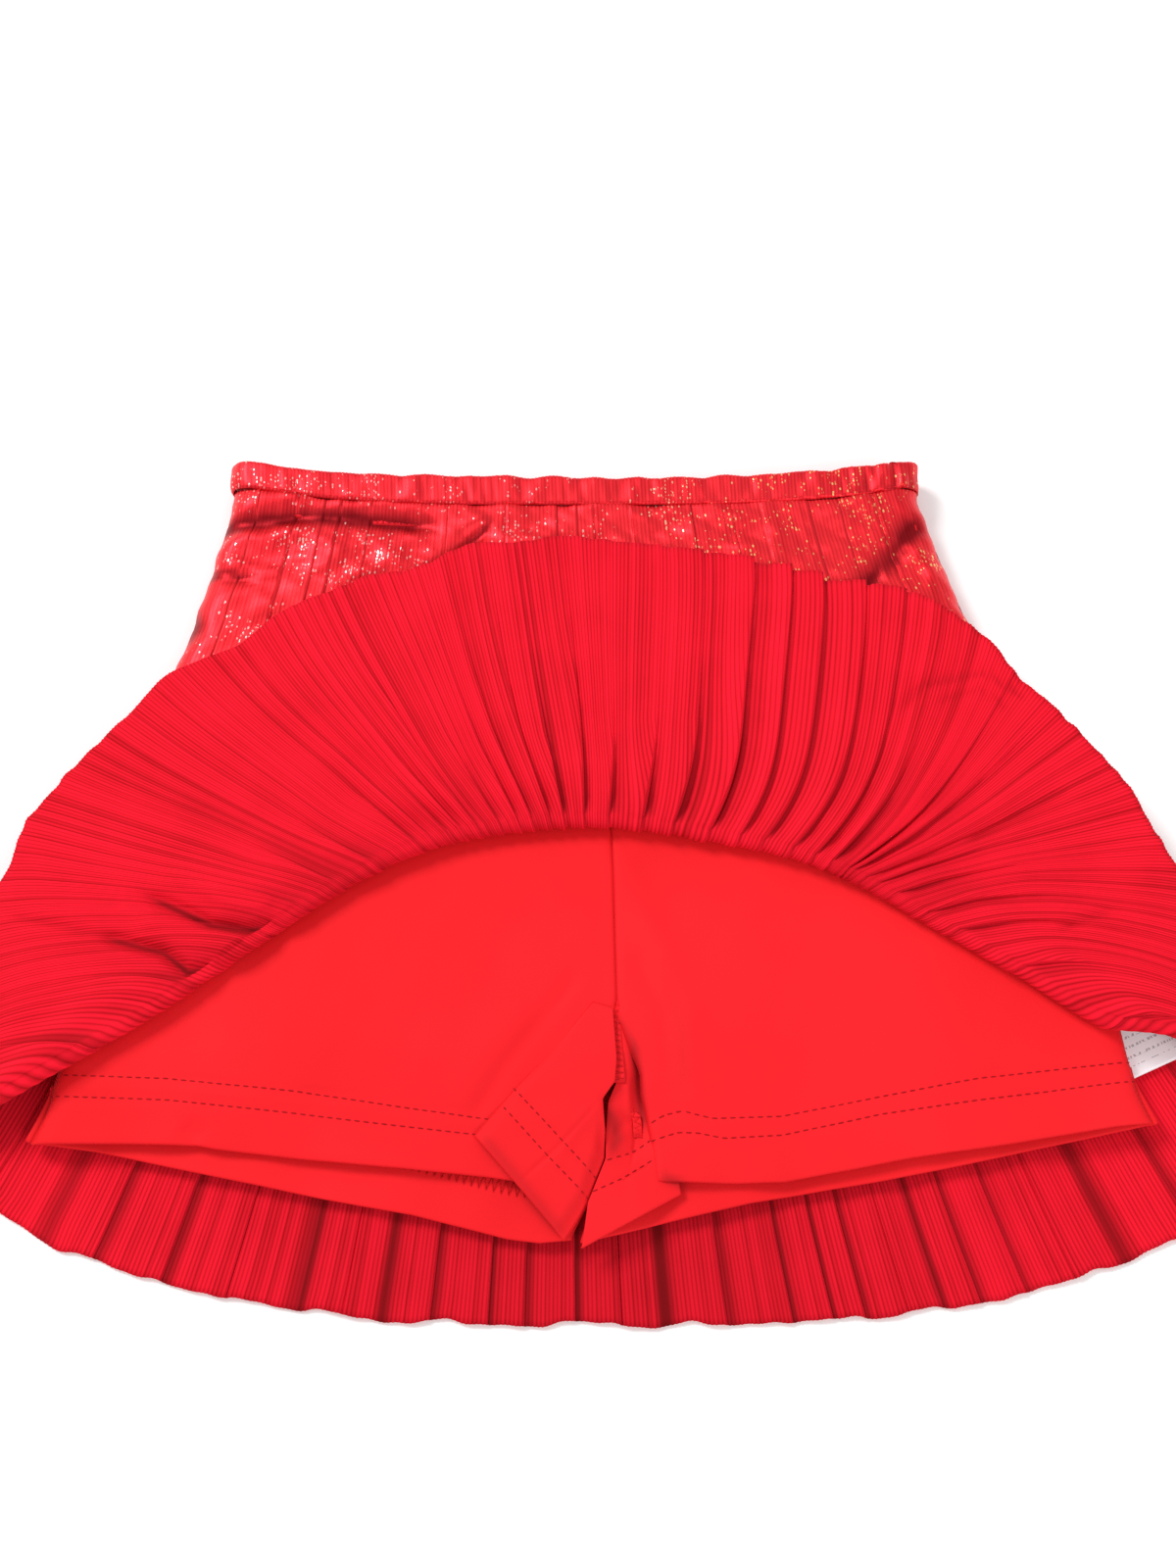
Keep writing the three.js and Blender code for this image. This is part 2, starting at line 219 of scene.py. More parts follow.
def cloth(name, top, thickness, uv=None, attributes=None, step=2, flip=False):
    """A closed sheet: the grid of top points, and an underside of every step-th column, a thickness below.
    Rows run along axis 0 and columns along axis 1, so that the top's normal points up."""
    if flip:
        top = top[::-1]
    rows, cols, _ = top.shape
    keep = np.arange(0, cols, step)
    if keep[-1] != cols - 1:
        raise ValueError(name + ": columns don't fit the step")
    coarse = top[:, keep]
    normal = grid_normals(coarse)
    under = coarse - normal * thickness
    n_top = rows * cols
    low = len(keep)

    def at(r, c):
        return r * cols + c

    def lo(r, k):
        return n_top + r * low + k

    r, c = np.meshgrid(np.arange(rows - 1), np.arange(cols - 1), indexing="ij")
    quads = np.stack([at(r, c), at(r, c + 1), at(r + 1, c + 1), at(r + 1, c)], -1).reshape(-1, 4)
    r, k = np.meshgrid(np.arange(rows - 1), np.arange(low - 1), indexing="ij")
    below = np.stack([lo(r, k), lo(r + 1, k), lo(r + 1, k + 1), lo(r, k + 1)], -1).reshape(-1, 4)
    faces = quads.tolist() + below.tolist()
    kind = [0] * len(quads) + [1] * len(below)
    for k in range(low - 1):
        c0 = keep[k]
        first = [at(0, c) for c in range(c0, c0 + step + 1)]
        last = [at(rows - 1, c) for c in range(c0, c0 + step + 1)]
        faces.append([lo(0, k), lo(0, k + 1), *reversed(first)])
        faces.append([lo(rows - 1, k + 1), lo(rows - 1, k), *last])
        kind += [0, 0]
    for r in range(rows - 1):
        faces.append([lo(r + 1, 0), lo(r, 0), at(r, 0), at(r + 1, 0)])
        faces.append([lo(r, low - 1), lo(r + 1, low - 1), at(r + 1, cols - 1), at(r, cols - 1)])
        kind += [0, 0]
    verts = np.concatenate([top.reshape(-1, 3), under.reshape(-1, 3)])
    if uv is not None:
        uv = np.concatenate([uv.reshape(-1, 2), uv[:, keep].reshape(-1, 2)])
    given = {}
    for key, values in (attributes or {}).items():
        values = np.broadcast_to(values, (rows, cols))
        under_values = values[:, keep] * (0 if key == "crest" else 1)
        given[key] = np.concatenate([values.ravel(), under_values.ravel()])
    return make_object(name, verts, faces, uv, kind, given)


def ring_cloth(name, grid, thickness, uv, attributes):
    """A closed sheet as cloth() makes, but with its columns running round a loop."""
    grid = grid[:, ::-1]
    uv = uv[:, ::-1]
    rows, cols, _ = grid.shape
    padded = np.concatenate([grid[:, -1:], grid, grid[:, :1]], 1)
    normal = grid_normals(padded)[:, 1:-1]
    under = grid - normal * thickness
    n = rows * cols

    def at(r, c, base=0):
        return base + r * cols + c % cols

    r, c = np.meshgrid(np.arange(rows - 1), np.arange(cols), indexing="ij")
    top_faces = np.stack([at(r, c), at(r, c + 1), at(r + 1, c + 1), at(r + 1, c)], -1).reshape(-1, 4)
    low_faces = np.stack([at(r, c, n), at(r + 1, c, n), at(r + 1, c + 1, n), at(r, c + 1, n)], -1)
    low_faces = low_faces.reshape(-1, 4)
    c = np.arange(cols)
    e = rows - 1
    first = np.stack([at(0, c, n), at(0, c + 1, n), at(0, c + 1), at(0, c)], -1)
    last = np.stack([at(e, c), at(e, c + 1), at(e, c + 1, n), at(e, c, n)], -1)
    faces = np.concatenate([top_faces, low_faces, first, last])
    kind = [0] * len(top_faces) + [1] * len(low_faces) + [0] * (2 * cols)
    verts = np.concatenate([grid.reshape(-1, 3), under.reshape(-1, 3)])
    uvs = np.concatenate([uv.reshape(-1, 2)] * 2)
    given = {}
    for key, values in attributes.items():
        values = np.broadcast_to(values, (rows, cols))[:, ::-1].ravel()
        given[key] = np.concatenate([values, values * (0 if key == "crest" else 1)])
    return make_object(name, verts, faces.tolist(), uvs, kind, given)


# ---- Materials ----


class Finish:
    """A material's node tree, with short ways to add to it."""

    def __init__(self, name, roughness, metallic=0.0, sheen=0.0, specular=0.12):
        self.material = bpy.data.materials.new(name)
        self.material.use_nodes = True
        self.tree = self.material.node_tree
        self.shader = self.tree.nodes["Principled BSDF"]
        self.set(self.shader, Roughness=roughness, Metallic=metallic)
        self.shader.inputs["Sheen Weight"].default_value = sheen
        self.shader.inputs["Sheen Roughness"].default_value = 0.5
        self.shader.inputs["Sheen Tint"].default_value = (1.0, 0.25, 0.3, 1)
        self.shader.inputs["Specular IOR Level"].default_value = specular

    def set(self, node, **values):
        for key, value in values.items():
            node.inputs[key.replace("_", " ")].default_value = value
        return node

    def add(self, kind, links=(), **settings):
        node = self.tree.nodes.new("ShaderNode" + kind)
        for key, value in settings.items():
            setattr(node, key, value)
        for socket, source in dict(links).items():
            if isinstance(source, (int, float, tuple)):
                node.inputs[socket].default_value = source
            else:
                self.tree.links.new(source, node.inputs[socket])
        return node

    def math(self, operation, a, b=0.0, c=0.0, clamp=False):
        node = self.add("Math", {0: a, 1: b, 2: c}, operation=operation, use_clamp=clamp)
        return node.outputs[0]

    def mix(self, factor, a, b, blend="MIX"):
        node = self.add("Mix", data_type="RGBA", blend_type=blend)
        for socket, source in ((0, factor), (6, a), (7, b)):
            if isinstance(source, (int, float, tuple)):
                node.inputs[socket].default_value = source
            else:
                self.tree.links.new(source, node.inputs[socket])
        return node.outputs[2]

    def attribute(self, name):
        return self.add("Attribute", attribute_name=name).outputs["Fac"]

    def place(self, scale, uv=False):
        """Object coordinates, or the weave's own, stretched by scale along each axis."""
        if uv:
            source = self.add("UVMap", uv_map="weave").outputs[0]
        else:
            source = self.add("TexCoord").outputs["Object"]
        return self.add("Mapping", {"Vector": source, "Scale": scale}).outputs[0]

    def noise(self, vector, scale, detail=2.0, roughness=0.5):
        node = self.add("TexNoise", {"Vector": vector, "Scale": scale, "Detail": detail,
                                     "Roughness": roughness})
        return node.outputs["Fac"]

    def range(self, value, a, b, c=0.0, d=1.0):
        node = self.add("MapRange", {"Value": value, "From Min": a, "From Max": b, "To Min": c, "To Max": d})
        return node.outputs[0]

    def colour(self, source):
        if isinstance(source, tuple):
            self.shader.inputs["Base Color"].default_value = source
        else:
            self.tree.links.new(source, self.shader.inputs["Base Color"])

    def bump(self, height, distance, strength=1.0, after=None):
        links = {"Height": height, "Distance": distance, "Strength": strength}
        node = self.add("Bump", links)
        if after is not None:
            self.tree.links.new(after, node.inputs["Normal"])
        self.tree.links.new(node.outputs[0], self.shader.inputs["Normal"])
        return node.outputs[0]


def matt_plisse():
    """The skirt's inside: a matt knit with fine pressed ribs."""
    f = Finish("matt_plisse", 0.85, sheen=0.03)
    # Painted shade in the rib valleys and a painted highlight on the rib crests, from the rib attribute; tone
    # and the noise add a random tone per rib.
    rib = f.math("POWER", f.attribute("rib"), 0.55)
    tone = f.attribute("tone")
    shade = f.math("MULTIPLY_ADD", tone, 0.30, f.math("MULTIPLY_ADD", rib, 1.10, 0.02), clamp=True)
    cloud = f.noise(f.place((1.0, 1.0, 1.0)), 45.0, 3.0)
    shade = f.math("MULTIPLY_ADD", f.math("SUBTRACT", cloud, 0.5), 0.4, shade, clamp=True)
    tone_and_painted_rib_shade = f.mix(shade, (0.36, 0.0006, 0.0044, 1), (0.92, 0.0074, 0.0268, 1))
    # Painted shade: the shade attribute darkens the cloth where the pleats and creases hollow it, and the
    # back towards its middle.
    f.colour(f.mix(f.attribute("shade"), (0.17, 0.0005, 0.0025, 1), tone_and_painted_rib_shade))
    knit = f.noise(f.place((3200.0, 3200.0, 3200.0)), 1.0, 2.0)
    f.bump(knit, 0.00018, 0.45)
    return f.material


def foil_plisse():
    """The skirt's outside: foil dots printed on the ribs, drawn as painted glints that gather in drifts, with
    painted shade in rib valleys and folds.
    """
    f = Finish("foil_plisse", 0.36, metallic=0.7, specular=0.2)
    rib = f.math("MAXIMUM", f.attribute("rib"), f.math("MULTIPLY", f.attribute("lining"), 0.8))
    tone = f.attribute("tone")
    painted_fold_shade = f.attribute("painted_fold_shade")
    weave = f.place((1.0, 0.62, 1.0), uv=True)
    # Painted highlight: pale glints on some of the foil dots, in drifts along the rib crests, thinning out in
    # the painted fold shade.
    cells = f.add("TexVoronoi", {"Vector": weave, "Scale": 1.15, "Randomness": 0.8})
    pick = f.add("SeparateColor", {0: cells.outputs["Color"]})
    dot = f.math("LESS_THAN", cells.outputs["Distance"], 0.40)
    drift = f.noise(f.place((1.0, 1.0, 1.0)), 52.0, 4.0, 0.62)
    turned_off = f.math("MULTIPLY", f.math("ABSOLUTE", f.math("ADD", painted_fold_shade, 0.18)), 0.30)
    drift = f.math("SUBTRACT", drift, turned_off)
    limit = f.range(drift, 0.40, 0.58, 0.985, 0.36)
    glint = f.math("MULTIPLY", f.math("GREATER_THAN", pick.outputs[0], limit), dot)
    glint = f.math("MULTIPLY", glint, f.range(rib, 0.10, 0.5))
    across = f.add("SeparateXYZ", {0: f.add("TexCoord").outputs["Object"]}).outputs[0]
    # The painted glints run from pink at the left to gold at the right.
    warm = f.range(across, -0.01, 0.06)
    spark = f.mix(warm, (1.0, 0.50, 0.46, 1), (1.0, 0.58, 0.22, 1))
    # Painted shade in the rib valleys and a painted highlight on the crests, with a random tone per rib.
    shade = f.math("MULTIPLY_ADD", tone, 0.18, f.math("MULTIPLY_ADD", f.math("POWER", rib, 0.6), 0.75, 0.28),
                   clamp=True)
    lit = f.mix(shade, (0.48, 0.0020, 0.009, 1), (1.0, 0.034, 0.046, 1))
    # Painted shade: the foil darkens to maroon along the folds, where it reflects dark.
    ground = f.mix(f.range(painted_fold_shade, 0.05, 0.9, 0.0, 0.85), lit, (0.15, 0.0006, 0.004, 1))
    f.colour(f.mix(glint, ground, spark))
    rough = f.range(glint, 0.0, 1.0, 0.42, 0.22)
    f.tree.links.new(rough, f.shader.inputs["Roughness"])
    knit = f.noise(f.place((2600.0, 2600.0, 2600.0)), 1.0, 2.0)
    f.bump(knit, 0.00016, 0.5)
    return f.material


def jersey():
    """The shorts' smooth single jersey."""
    f = Finish("jersey", 0.72, sheen=0.05, specular=0.2)
    cloud = f.noise(f.place((1.0, 1.0, 1.0)), 14.0, 2.0)
    open_cloth = f.mix(f.range(cloud, 0.35, 0.65), (0.74, 0.0052, 0.0100, 1), (0.80, 0.0074, 0.0138, 1))
    # Painted shade: the gloom attribute darkens the jersey at the crotch creases and the leg openings.
    f.colour(f.mix(f.attribute("gloom"), open_cloth, (0.30, 0.0012, 0.0040, 1)))
    wale = f.noise(f.place((3600.0, 1500.0, 3000.0)), 1.0, 1.0)
    f.bump(wale, 0.00012, 0.35)
    return f.material


def sewing_thread(name, dark, light):
    f = Finish(name, 0.6, sheen=0.1)
    twist = f.noise(f.place((2600.0, 2600.0, 2600.0)), 1.0, 2.0)
    f.colour(f.mix(twist, dark, light))
    f.bump(twist, 0.0001, 0.4)
    return f.material


def woven_elastic():
    f = Finish("woven_elastic", 0.85)
    cord = f.noise(f.place((1600.0, 260.0, 1600.0)), 1.0, 2.0)
    f.colour(f.mix(cord, (0.70, 0.68, 0.64, 1), (0.90, 0.88, 0.84, 1)))
    f.bump(cord, 0.0002, 0.5)
    return f.material


def label_satin():
    """White satin, printed with plain dashes."""
    f = Finish("label_satin", 0.42, specular=0.4)
    uv = f.add("SeparateXYZ", {0: f.add("UVMap", uv_map="weave").outputs[0]})
    line = f.math("FRACT", f.math("DIVIDE", uv.outputs[1], 3.4))
    on_line = f.math("LESS_THAN", line, 0.26)
    letter = f.noise(f.place((1.1, 0.29, 1.0), uv=True), 1.0, 0.0)
    dash = f.math("MULTIPLY", on_line, f.math("GREATER_THAN", letter, 0.50))
    inside = f.math("LESS_THAN", f.math("ABSOLUTE", f.math("SUBTRACT", uv.outputs[1], 15.0)), 11.0)
    dash = f.math("MULTIPLY", dash, inside)
    f.colour(f.mix(dash, (0.95, 0.92, 0.95, 1), (0.50, 0.47, 0.50, 1)))
    weave = f.noise(f.place((1200.0, 5200.0, 1200.0)), 1.0, 1.0)
    f.bump(weave, 0.00008, 0.4)
    return f.material


MATT = matt_plisse()
FOIL = foil_plisse()
JERSEY = jersey()
THREAD = sewing_thread("hem_thread", (0.22, 0.001, 0.004, 1), (0.42, 0.003, 0.009, 1))
JERSEY_THREAD = sewing_thread("overlock_thread", (0.60, 0.004, 0.010, 1), (0.92, 0.014, 0.026, 1))
FOIL_THREAD = sewing_thread("topstitch_thread", (0.50, 0.004, 0.012, 1), (0.80, 0.02, 0.035, 1))
ELASTIC = woven_elastic()
SATIN = label_satin()


# ---- Pleats ----


class Pleats:
    """Knife pleats across a number of fine ribs. Each is a band of ribs that rises to one edge, where the
    cloth steps back under the next band."""

    def __init__(self, ribs, widths, seed, both_ways=0.0):
        rng = np.random.default_rng(seed)
        edges = [0]
        while edges[-1] < ribs:
            shortest, longest = widths(2 * edges[-1] / ribs - 1)
            edges.append(edges[-1] + int(rng.integers(shortest, longest + 1)))
        edges[-1] = ribs
        if edges[-1] - edges[-2] < shortest:
            del edges[-2]
        self.ribs = ribs
        self.edges = np.array(edges, float)
        count = len(edges) - 1
        self.strength = rng.uniform(0.55, 1.0, count)
        self.reach = rng.uniform(0.35, 1.0, count)
        self.flip = rng.random(count) < both_ways
        deep = rng.random(ribs + 1) < 0.16
        self.rib_tone = np.where(deep, rng.uniform(-1.0, -0.5, ribs + 1), rng.uniform(-0.3, 0.6, ribs + 1))
        # Two columns to a rib: its valley, then its crest.
        self.s = np.arange(2 * ribs + 1) / 2
        self.k = np.clip(np.searchsorted(self.edges, self.s, "right") - 1, 0, count - 1)
        self.long = (self.edges[1:] - self.edges[:-1])[self.k]
        self.t = (self.s - self.edges[self.k]) / self.long
        self.crest = (np.arange(2 * ribs + 1) % 2).astype(float)
        self.rib = np.minimum(self.s.astype(int), ribs)

    def lay(self, hidden):
        """For the share of each pleat that is hidden, as rows by columns: where each column lies across the
        ribs, and how far up its pleat's slope it is."""
        h = np.clip(hidden, 0.02, 0.6)
        t = np.where(self.flip[self.k], 1 - self.t, self.t)
        split = 1 - h
        edge = 0.16 * h
        seen = t / split
        back = (t - split) / h
        g = np.where(t < split, seen * (1 - edge), (1 - edge) + edge * back)
        up = np.where(t < split, seen, 1 - back)
        g = np.where(self.flip[self.k], 1 - g, g)
        return self.edges[self.k] + self.long * g, up


# ---- Skirt front, turned back ----

THIN = 0.55  # how thick the skirt's cloth is
ROLL = 3.9  # radius of the rolled edge
FAN_RIBS = 516

fold_xs = np.linspace(0, HEM_HALF, 600)
fold_run = np.concatenate([[0], np.cumsum(np.hypot(np.diff(fold_xs), np.diff(fold_y(fold_xs))))])


def fold_point(u):
    """Point on the folded edge for a place across the fan, from -1 to 1."""
    a = np.abs(u)
    share = 0.565 * a + 0.435 * a**14 + 0.10 * bell(u, 0.34, 0.2) * smooth(u / 0.1)
    x = np.sign(u) * np.interp(share * fold_run[-1], fold_run, fold_xs)
    return x, fold_y(x)


HEM_SWELL = ((-60, -5), (-55, -2), (-46, -2.5), (-38, 1), (-31, -2), (-23, 1), (-13, 0.5), (-9, 6), (-2.5, 5),
             (9, 3.5), (17, 5), (23, 7.5), (26, 11), (29, 14.5), (32, 14.5), (39, 5), (45, 2), (53, -2),
             (59, -6.5))


def hem_swell(degrees):
    """How far the fan's hem stands out from its circle."""
    return np.interp(degrees, *zip(*HEM_SWELL))


def hem_point(u):
    angle = u * FLAP_SPAN
    r = FLAP_RADIUS + hem_swell(np.degrees(angle)) * smooth((1 - np.abs(u)) / 0.15)
    return r * np.sin(angle), FLAP_CENTRE_Y + r * np.cos(angle), np.sin(angle), np.cos(angle)


def fan_pleat_width(place):
    """Fewest and most ribs in a pleat, for a place across the fan."""
    if place < -0.42:
        return 14, 30
    if place < 0.36:
        return 8, 13
    return 10, 22


fan = Pleats(FAN_RIBS, fan_pleat_width, seed=11)

# Where the lifted cloth creases: the line, its half width and its depth, which also sets its painted shade.
# The pockets lie at the left.
FAN_CREASES = (
    (((-157, -13), (-133, -24), (-120, -26), (-104, -23)), 2.2, 5.4),
    (((-172, -28), (-149, -34), (-140, -41), (-120, -37)), 2.2, 5.2),
    (((112, 56), (120, 67), (143, 72), (160, 60)), 2.6, 2.0),
    (((124, 60), (141, 66), (154, 55)), 2.0, 1.4),
    (((130, 5), (172, 28)), 2.6, 2.0),
    (((160, -27), (186, -17)), 2.2, 1.8),
    (((-205, -20), (-172, -28)), 2.2, 1.4),
)
# The cloth that puffs up beside the pockets.
FAN_PUFFS = (
    (((-160, -21), (-136, -31), (-116, -32)), 4.5, 2.1),
    (((-150, -3), (-128, -16), (-110, -17)), 4.5, 1.8),
)


def build_fan():
    turn_rows = np.linspace(-math.pi / 2, math.pi / 2, 11)
    run_rows = np.linspace(0, 1, 54)[1:] ** 1.2
    phi = np.concatenate([turn_rows, np.full(len(run_rows), math.pi / 2)])[:, None]
    v = np.concatenate([np.zeros(len(turn_rows)), run_rows])[:, None]
    place = 2 * fan.s / FAN_RIBS - 1
    open_end = bell(place, 0.24, 0.10)  # where the pleats stay pressed down to the hem
    strength = fan.strength[fan.k] * (0.42 + 0.58 * bell(place, 0.08, 0.50))
    reach = fan.reach[fan.k] * (1 + 1.6 * open_end)
    fade = 1 - smooth(v / reach)
    hidden = 0.58 * strength * fade
    lay, up = fan.lay(hidden)
    u = np.clip(2 * lay / FAN_RIBS - 1, -1, 1)
    fx, fy = fold_point(u)
    hx, hy, hem_side, hem_out = hem_point(u)
    slope = fold_y(fx + 0.5) - fold_y(fx - 0.5)
    tx, ty = 1 / np.hypot(1, slope), slope / np.hypot(1, slope)
    nx, ny = -ty, tx
    turn = np.radians(84) * np.tanh(1.9 * u)
    dx, dy = np.sin(turn), np.cos(turn)
    slant = np.clip((dx * tx + dy * ty) / np.maximum(dx * nx + dy * ny, 0.3), -1.3, 1.3)
    drift = ROLL * (phi - math.pi / 2) * slant * 0.6
    length = np.hypot(hx - fx, hy - fy)
    lift = 0.40 * length
    ax = fx + nx * ROLL
    ay = fy + ny * ROLL
    mx = ax + dx * lift
    my = ay + dy * lift
    x = (1 - v) ** 2 * ax + 2 * v * (1 - v) * mx + v * v * hx
    y = (1 - v) ** 2 * ay + 2 * v * (1 - v) * my + v * v * hy
    sway = 1.5 * waves(lay, v * 100, 60.0, 130.0, 5) * v * (1 - v) * 4
    x = x + sway * ny
    y = y - sway * nx
    scallop = 1.4 * strength * (up - 0.5)
    radius = ROLL + scallop
    rolled = v == 0
    x = np.where(rolled, ax + tx * drift - nx * radius * np.cos(phi), x)
    y = np.where(rolled, ay + ty * drift - ny * radius * np.cos(phi), y)
    roll_z = PANEL_LOW_Z + 3.4 + 3.1 * np.sin(phi)
    settle = 21.8 + 1.2 * bell(v, 0.16, 0.12) - 0.9 * smooth((v - 0.3) / 0.6)
    height = 5.0 * strength * (0.30 + 0.70 * smooth(v / 0.10)) * (0.07 + 0.93 * fade)
    ramp = up - 0.10 * np.sin(up * 2 * math.pi)
    broad = 0.55 * waves(lay, v * 100, 38.0, 160.0, 8) * smooth(v / 0.2)
    puff = 0.7 * waves(lay, v * 100, 60.0, 60.0, 9) * bell(v, 0.35, 0.22)
    z = np.where(rolled, roll_z + 0.5 * scallop * np.sin(phi), settle + broad + puff + height * (ramp - 0.55))
    flutter = smooth((v - 0.90) / 0.10)
    frill = flutter * (0.3 * waves(lay, lay * 0, 11.0, 1.0, 21) + 0.8 * waves(lay, lay * 0, 34.0, 1.0, 22))
    frill = frill + 5.0 * open_end * strength * (up - 0.5) * smooth((v - 0.6) / 0.4)
    x = x + frill * hem_side
    y = y + frill * hem_out
    z = z + 0.5 * flutter * waves(lay, lay * 0, 12.0, 1.0, 23)
    out_x = x + lean(y)
    folds = sum(line(out_x, y, points, width, height) for points, width, height in FAN_PUFFS)
    # Painted shade along the creases, as gloom, beside their real dip.
    gloom = 0.0
    for points, width, depth in FAN_CREASES:
        folds = folds - line(out_x, y, points, width, depth)
        gloom = gloom + line(out_x, y, points, 0.62 * width, 0.15 * depth)
    z = z + np.where(rolled, 0.4, 1.0) * folds
    z = np.clip(z, np.where(rolled, 15.4, PANEL_TOP_Z + THIN + 0.35), 24.35) - corner_droop(x)
    top = np.stack([out_x, y, z], -1)
    uv = together(fan.s * RIB_PITCH, v * 115 + phi * ROLL)
    # Painted shade: the low part of each pleat's slope darkens, under the step of the pleat before it, and
    # the cloth just above the roll a little.
    deep = 0.45 * smooth((0.62 - up) / 0.62) + 0.40 * smooth((0.18 - up) / 0.18)
    deep = deep * np.minimum(1.5 * strength, 1)
    shade = 1 - deep * fade * smooth((v + 0.02) / 0.06) - 0.05 * bell(v, 0.0, 0.12)
    shade = np.clip(shade - np.where(rolled, 0, gloom), 0, 1)
    return top, uv, {"crest": fan.crest, "rib_number": fan.rib, "shade": shade, "tone": fan.rib_tone[fan.rib]}


# ---- Skirt front, from the waistband to the fold ----

PANEL_RIBS = 208
panel = Pleats(PANEL_RIBS, lambda place: (5, 12), seed=31, both_ways=0.4)


def sag(x):
    """The waist hangs a little in the middle and stands up at the sides."""
    return -4.8 + 8.6 * np.minimum(np.abs(x / 130), 1.05) ** 3.5


def ring(x, y, centre, size, width, height):
    r = np.hypot((x - centre[0]) / size[0], (y - centre[1]) / size[1])
    return height * bell(r, 1.0, width)


# Where the foil cloth creases: the line, its half width and its depth, which also sets its painted fold
# shade.
PANEL_CREASES = (
    (((131, 139), (118, 122), (98, 96)), 4.6, 2.6),
    (((-150, 116), (-132, 113), (-118, 111)), 3.0, 2.0),
    (((-149, 105), (-143, 92), (-150, 84)), 4.0, 2.4),
    (((-64, 108), (-44, 122), (-30, 137)), 2.6, 1.8),
    (((120, 84), (128, 92)), 2.6, 1.6),
)
# Where it stands up in a ring: the middle, the two half sizes, the ring's breadth and its height.
PANEL_RINGS = (
    ((-112, 121), (22, 8), 0.20, 1.2),
    ((-84, 122), (14, 8), 0.3, 0.6),
    ((60, 130), (16, 7), 0.25, 0.6),
    ((122, 112), (9, 12), 0.3, 0.8),
)


def build_panel():
    """Rows from the folded edge up to the waistband."""
    b = np.linspace(0, 1, 84)[:, None] ** 0.8
    lay, up = panel.lay(0.16 * panel.strength[panel.k] * np.ones_like(b))
    a = 2 * lay / PANEL_RIBS - 1
    low_x = a * (HEM_HALF - 16.0)
    for _ in range(12):
        low_slope = fold_y(low_x + 0.5) - fold_y(low_x - 0.5)
        low_y = fold_y(low_x) + (ROLL + 1.8) * np.hypot(1, low_slope)
        low_x = a * (side_x(low_y) - 0.8)
    high_y = Y_SEAM + sag(a * WAIST_HALF) + 1.0
    y = low_y + (high_y - low_y) * b
    half = side_x(np.minimum(y, Y_SEAM)) - 0.8
    x = a * half
    shown = smooth((y - 62) / 40)
    broad = 0.7 * waves(x, y, 42.0, 16.0, 41) + 0.4 * waves(x, y, 17.0, 9.0, 42)
    hollow = bell(y, 134.5 + 2.2 * np.sin(x / 17.0 + 1.0),
                  3.6) * smooth((-42 - x) / 26) * smooth((x + 141) / 10)
    marks = -2.6 * hollow
    for points, width, depth in PANEL_CREASES:
        marks = marks - line(x, y, points, width, depth)
    for centre, size, width, height in PANEL_RINGS:
        marks = marks + ring(x, y, centre, size, width, height)
    fold = broad + marks
    z = PANEL_TOP_Z - 1.2 + 0.35 * up * panel.strength[panel.k] + fold * shown
    z = z - 1.1 * smooth((0.05 - b) / 0.05) + 0.7 * smooth((y - high_y + 14) / 10)
    z = z - 1.0 * smooth((y - high_y + 1.6) / 1.4)
    z = np.clip(z, PANEL_LOW_Z - 0.6, 21.2)
    z = np.where(shown <= 0, np.minimum(z, PANEL_TOP_Z - 0.1), z) - corner_droop(x)
    z = z - (z - 7.4) * rounded((half - np.abs(x)) / 10.0)
    wob = 0.8 * waves(y, y * 0, 22.0, 1.0, 43) * smooth((np.abs(a) - 0.85) / 0.15)
    top = np.stack([x + lean(y) + wob, y, z], -1)
    uv = together(panel.s * 1.26, high_y - y)
    # Painted shade: the foil darkens along the creases and in the hollow under the waistband.
    painted_fold_dark = np.clip(0.42 * -marks, -0.5, 1) * shown
    return top, uv, {"crest": panel.crest, "rib_number": panel.rib, "shade": 1 + 0 * y,
                     "tone": panel.rib_tone[panel.rib], "painted_fold_shade": painted_fold_dark}


# ---- Skirt back ----

BACK_RIBS = 400


def back_pleat_width(place):
    return (8, 20)


back = Pleats(BACK_RIBS, back_pleat_width, seed=57, both_ways=0.15)


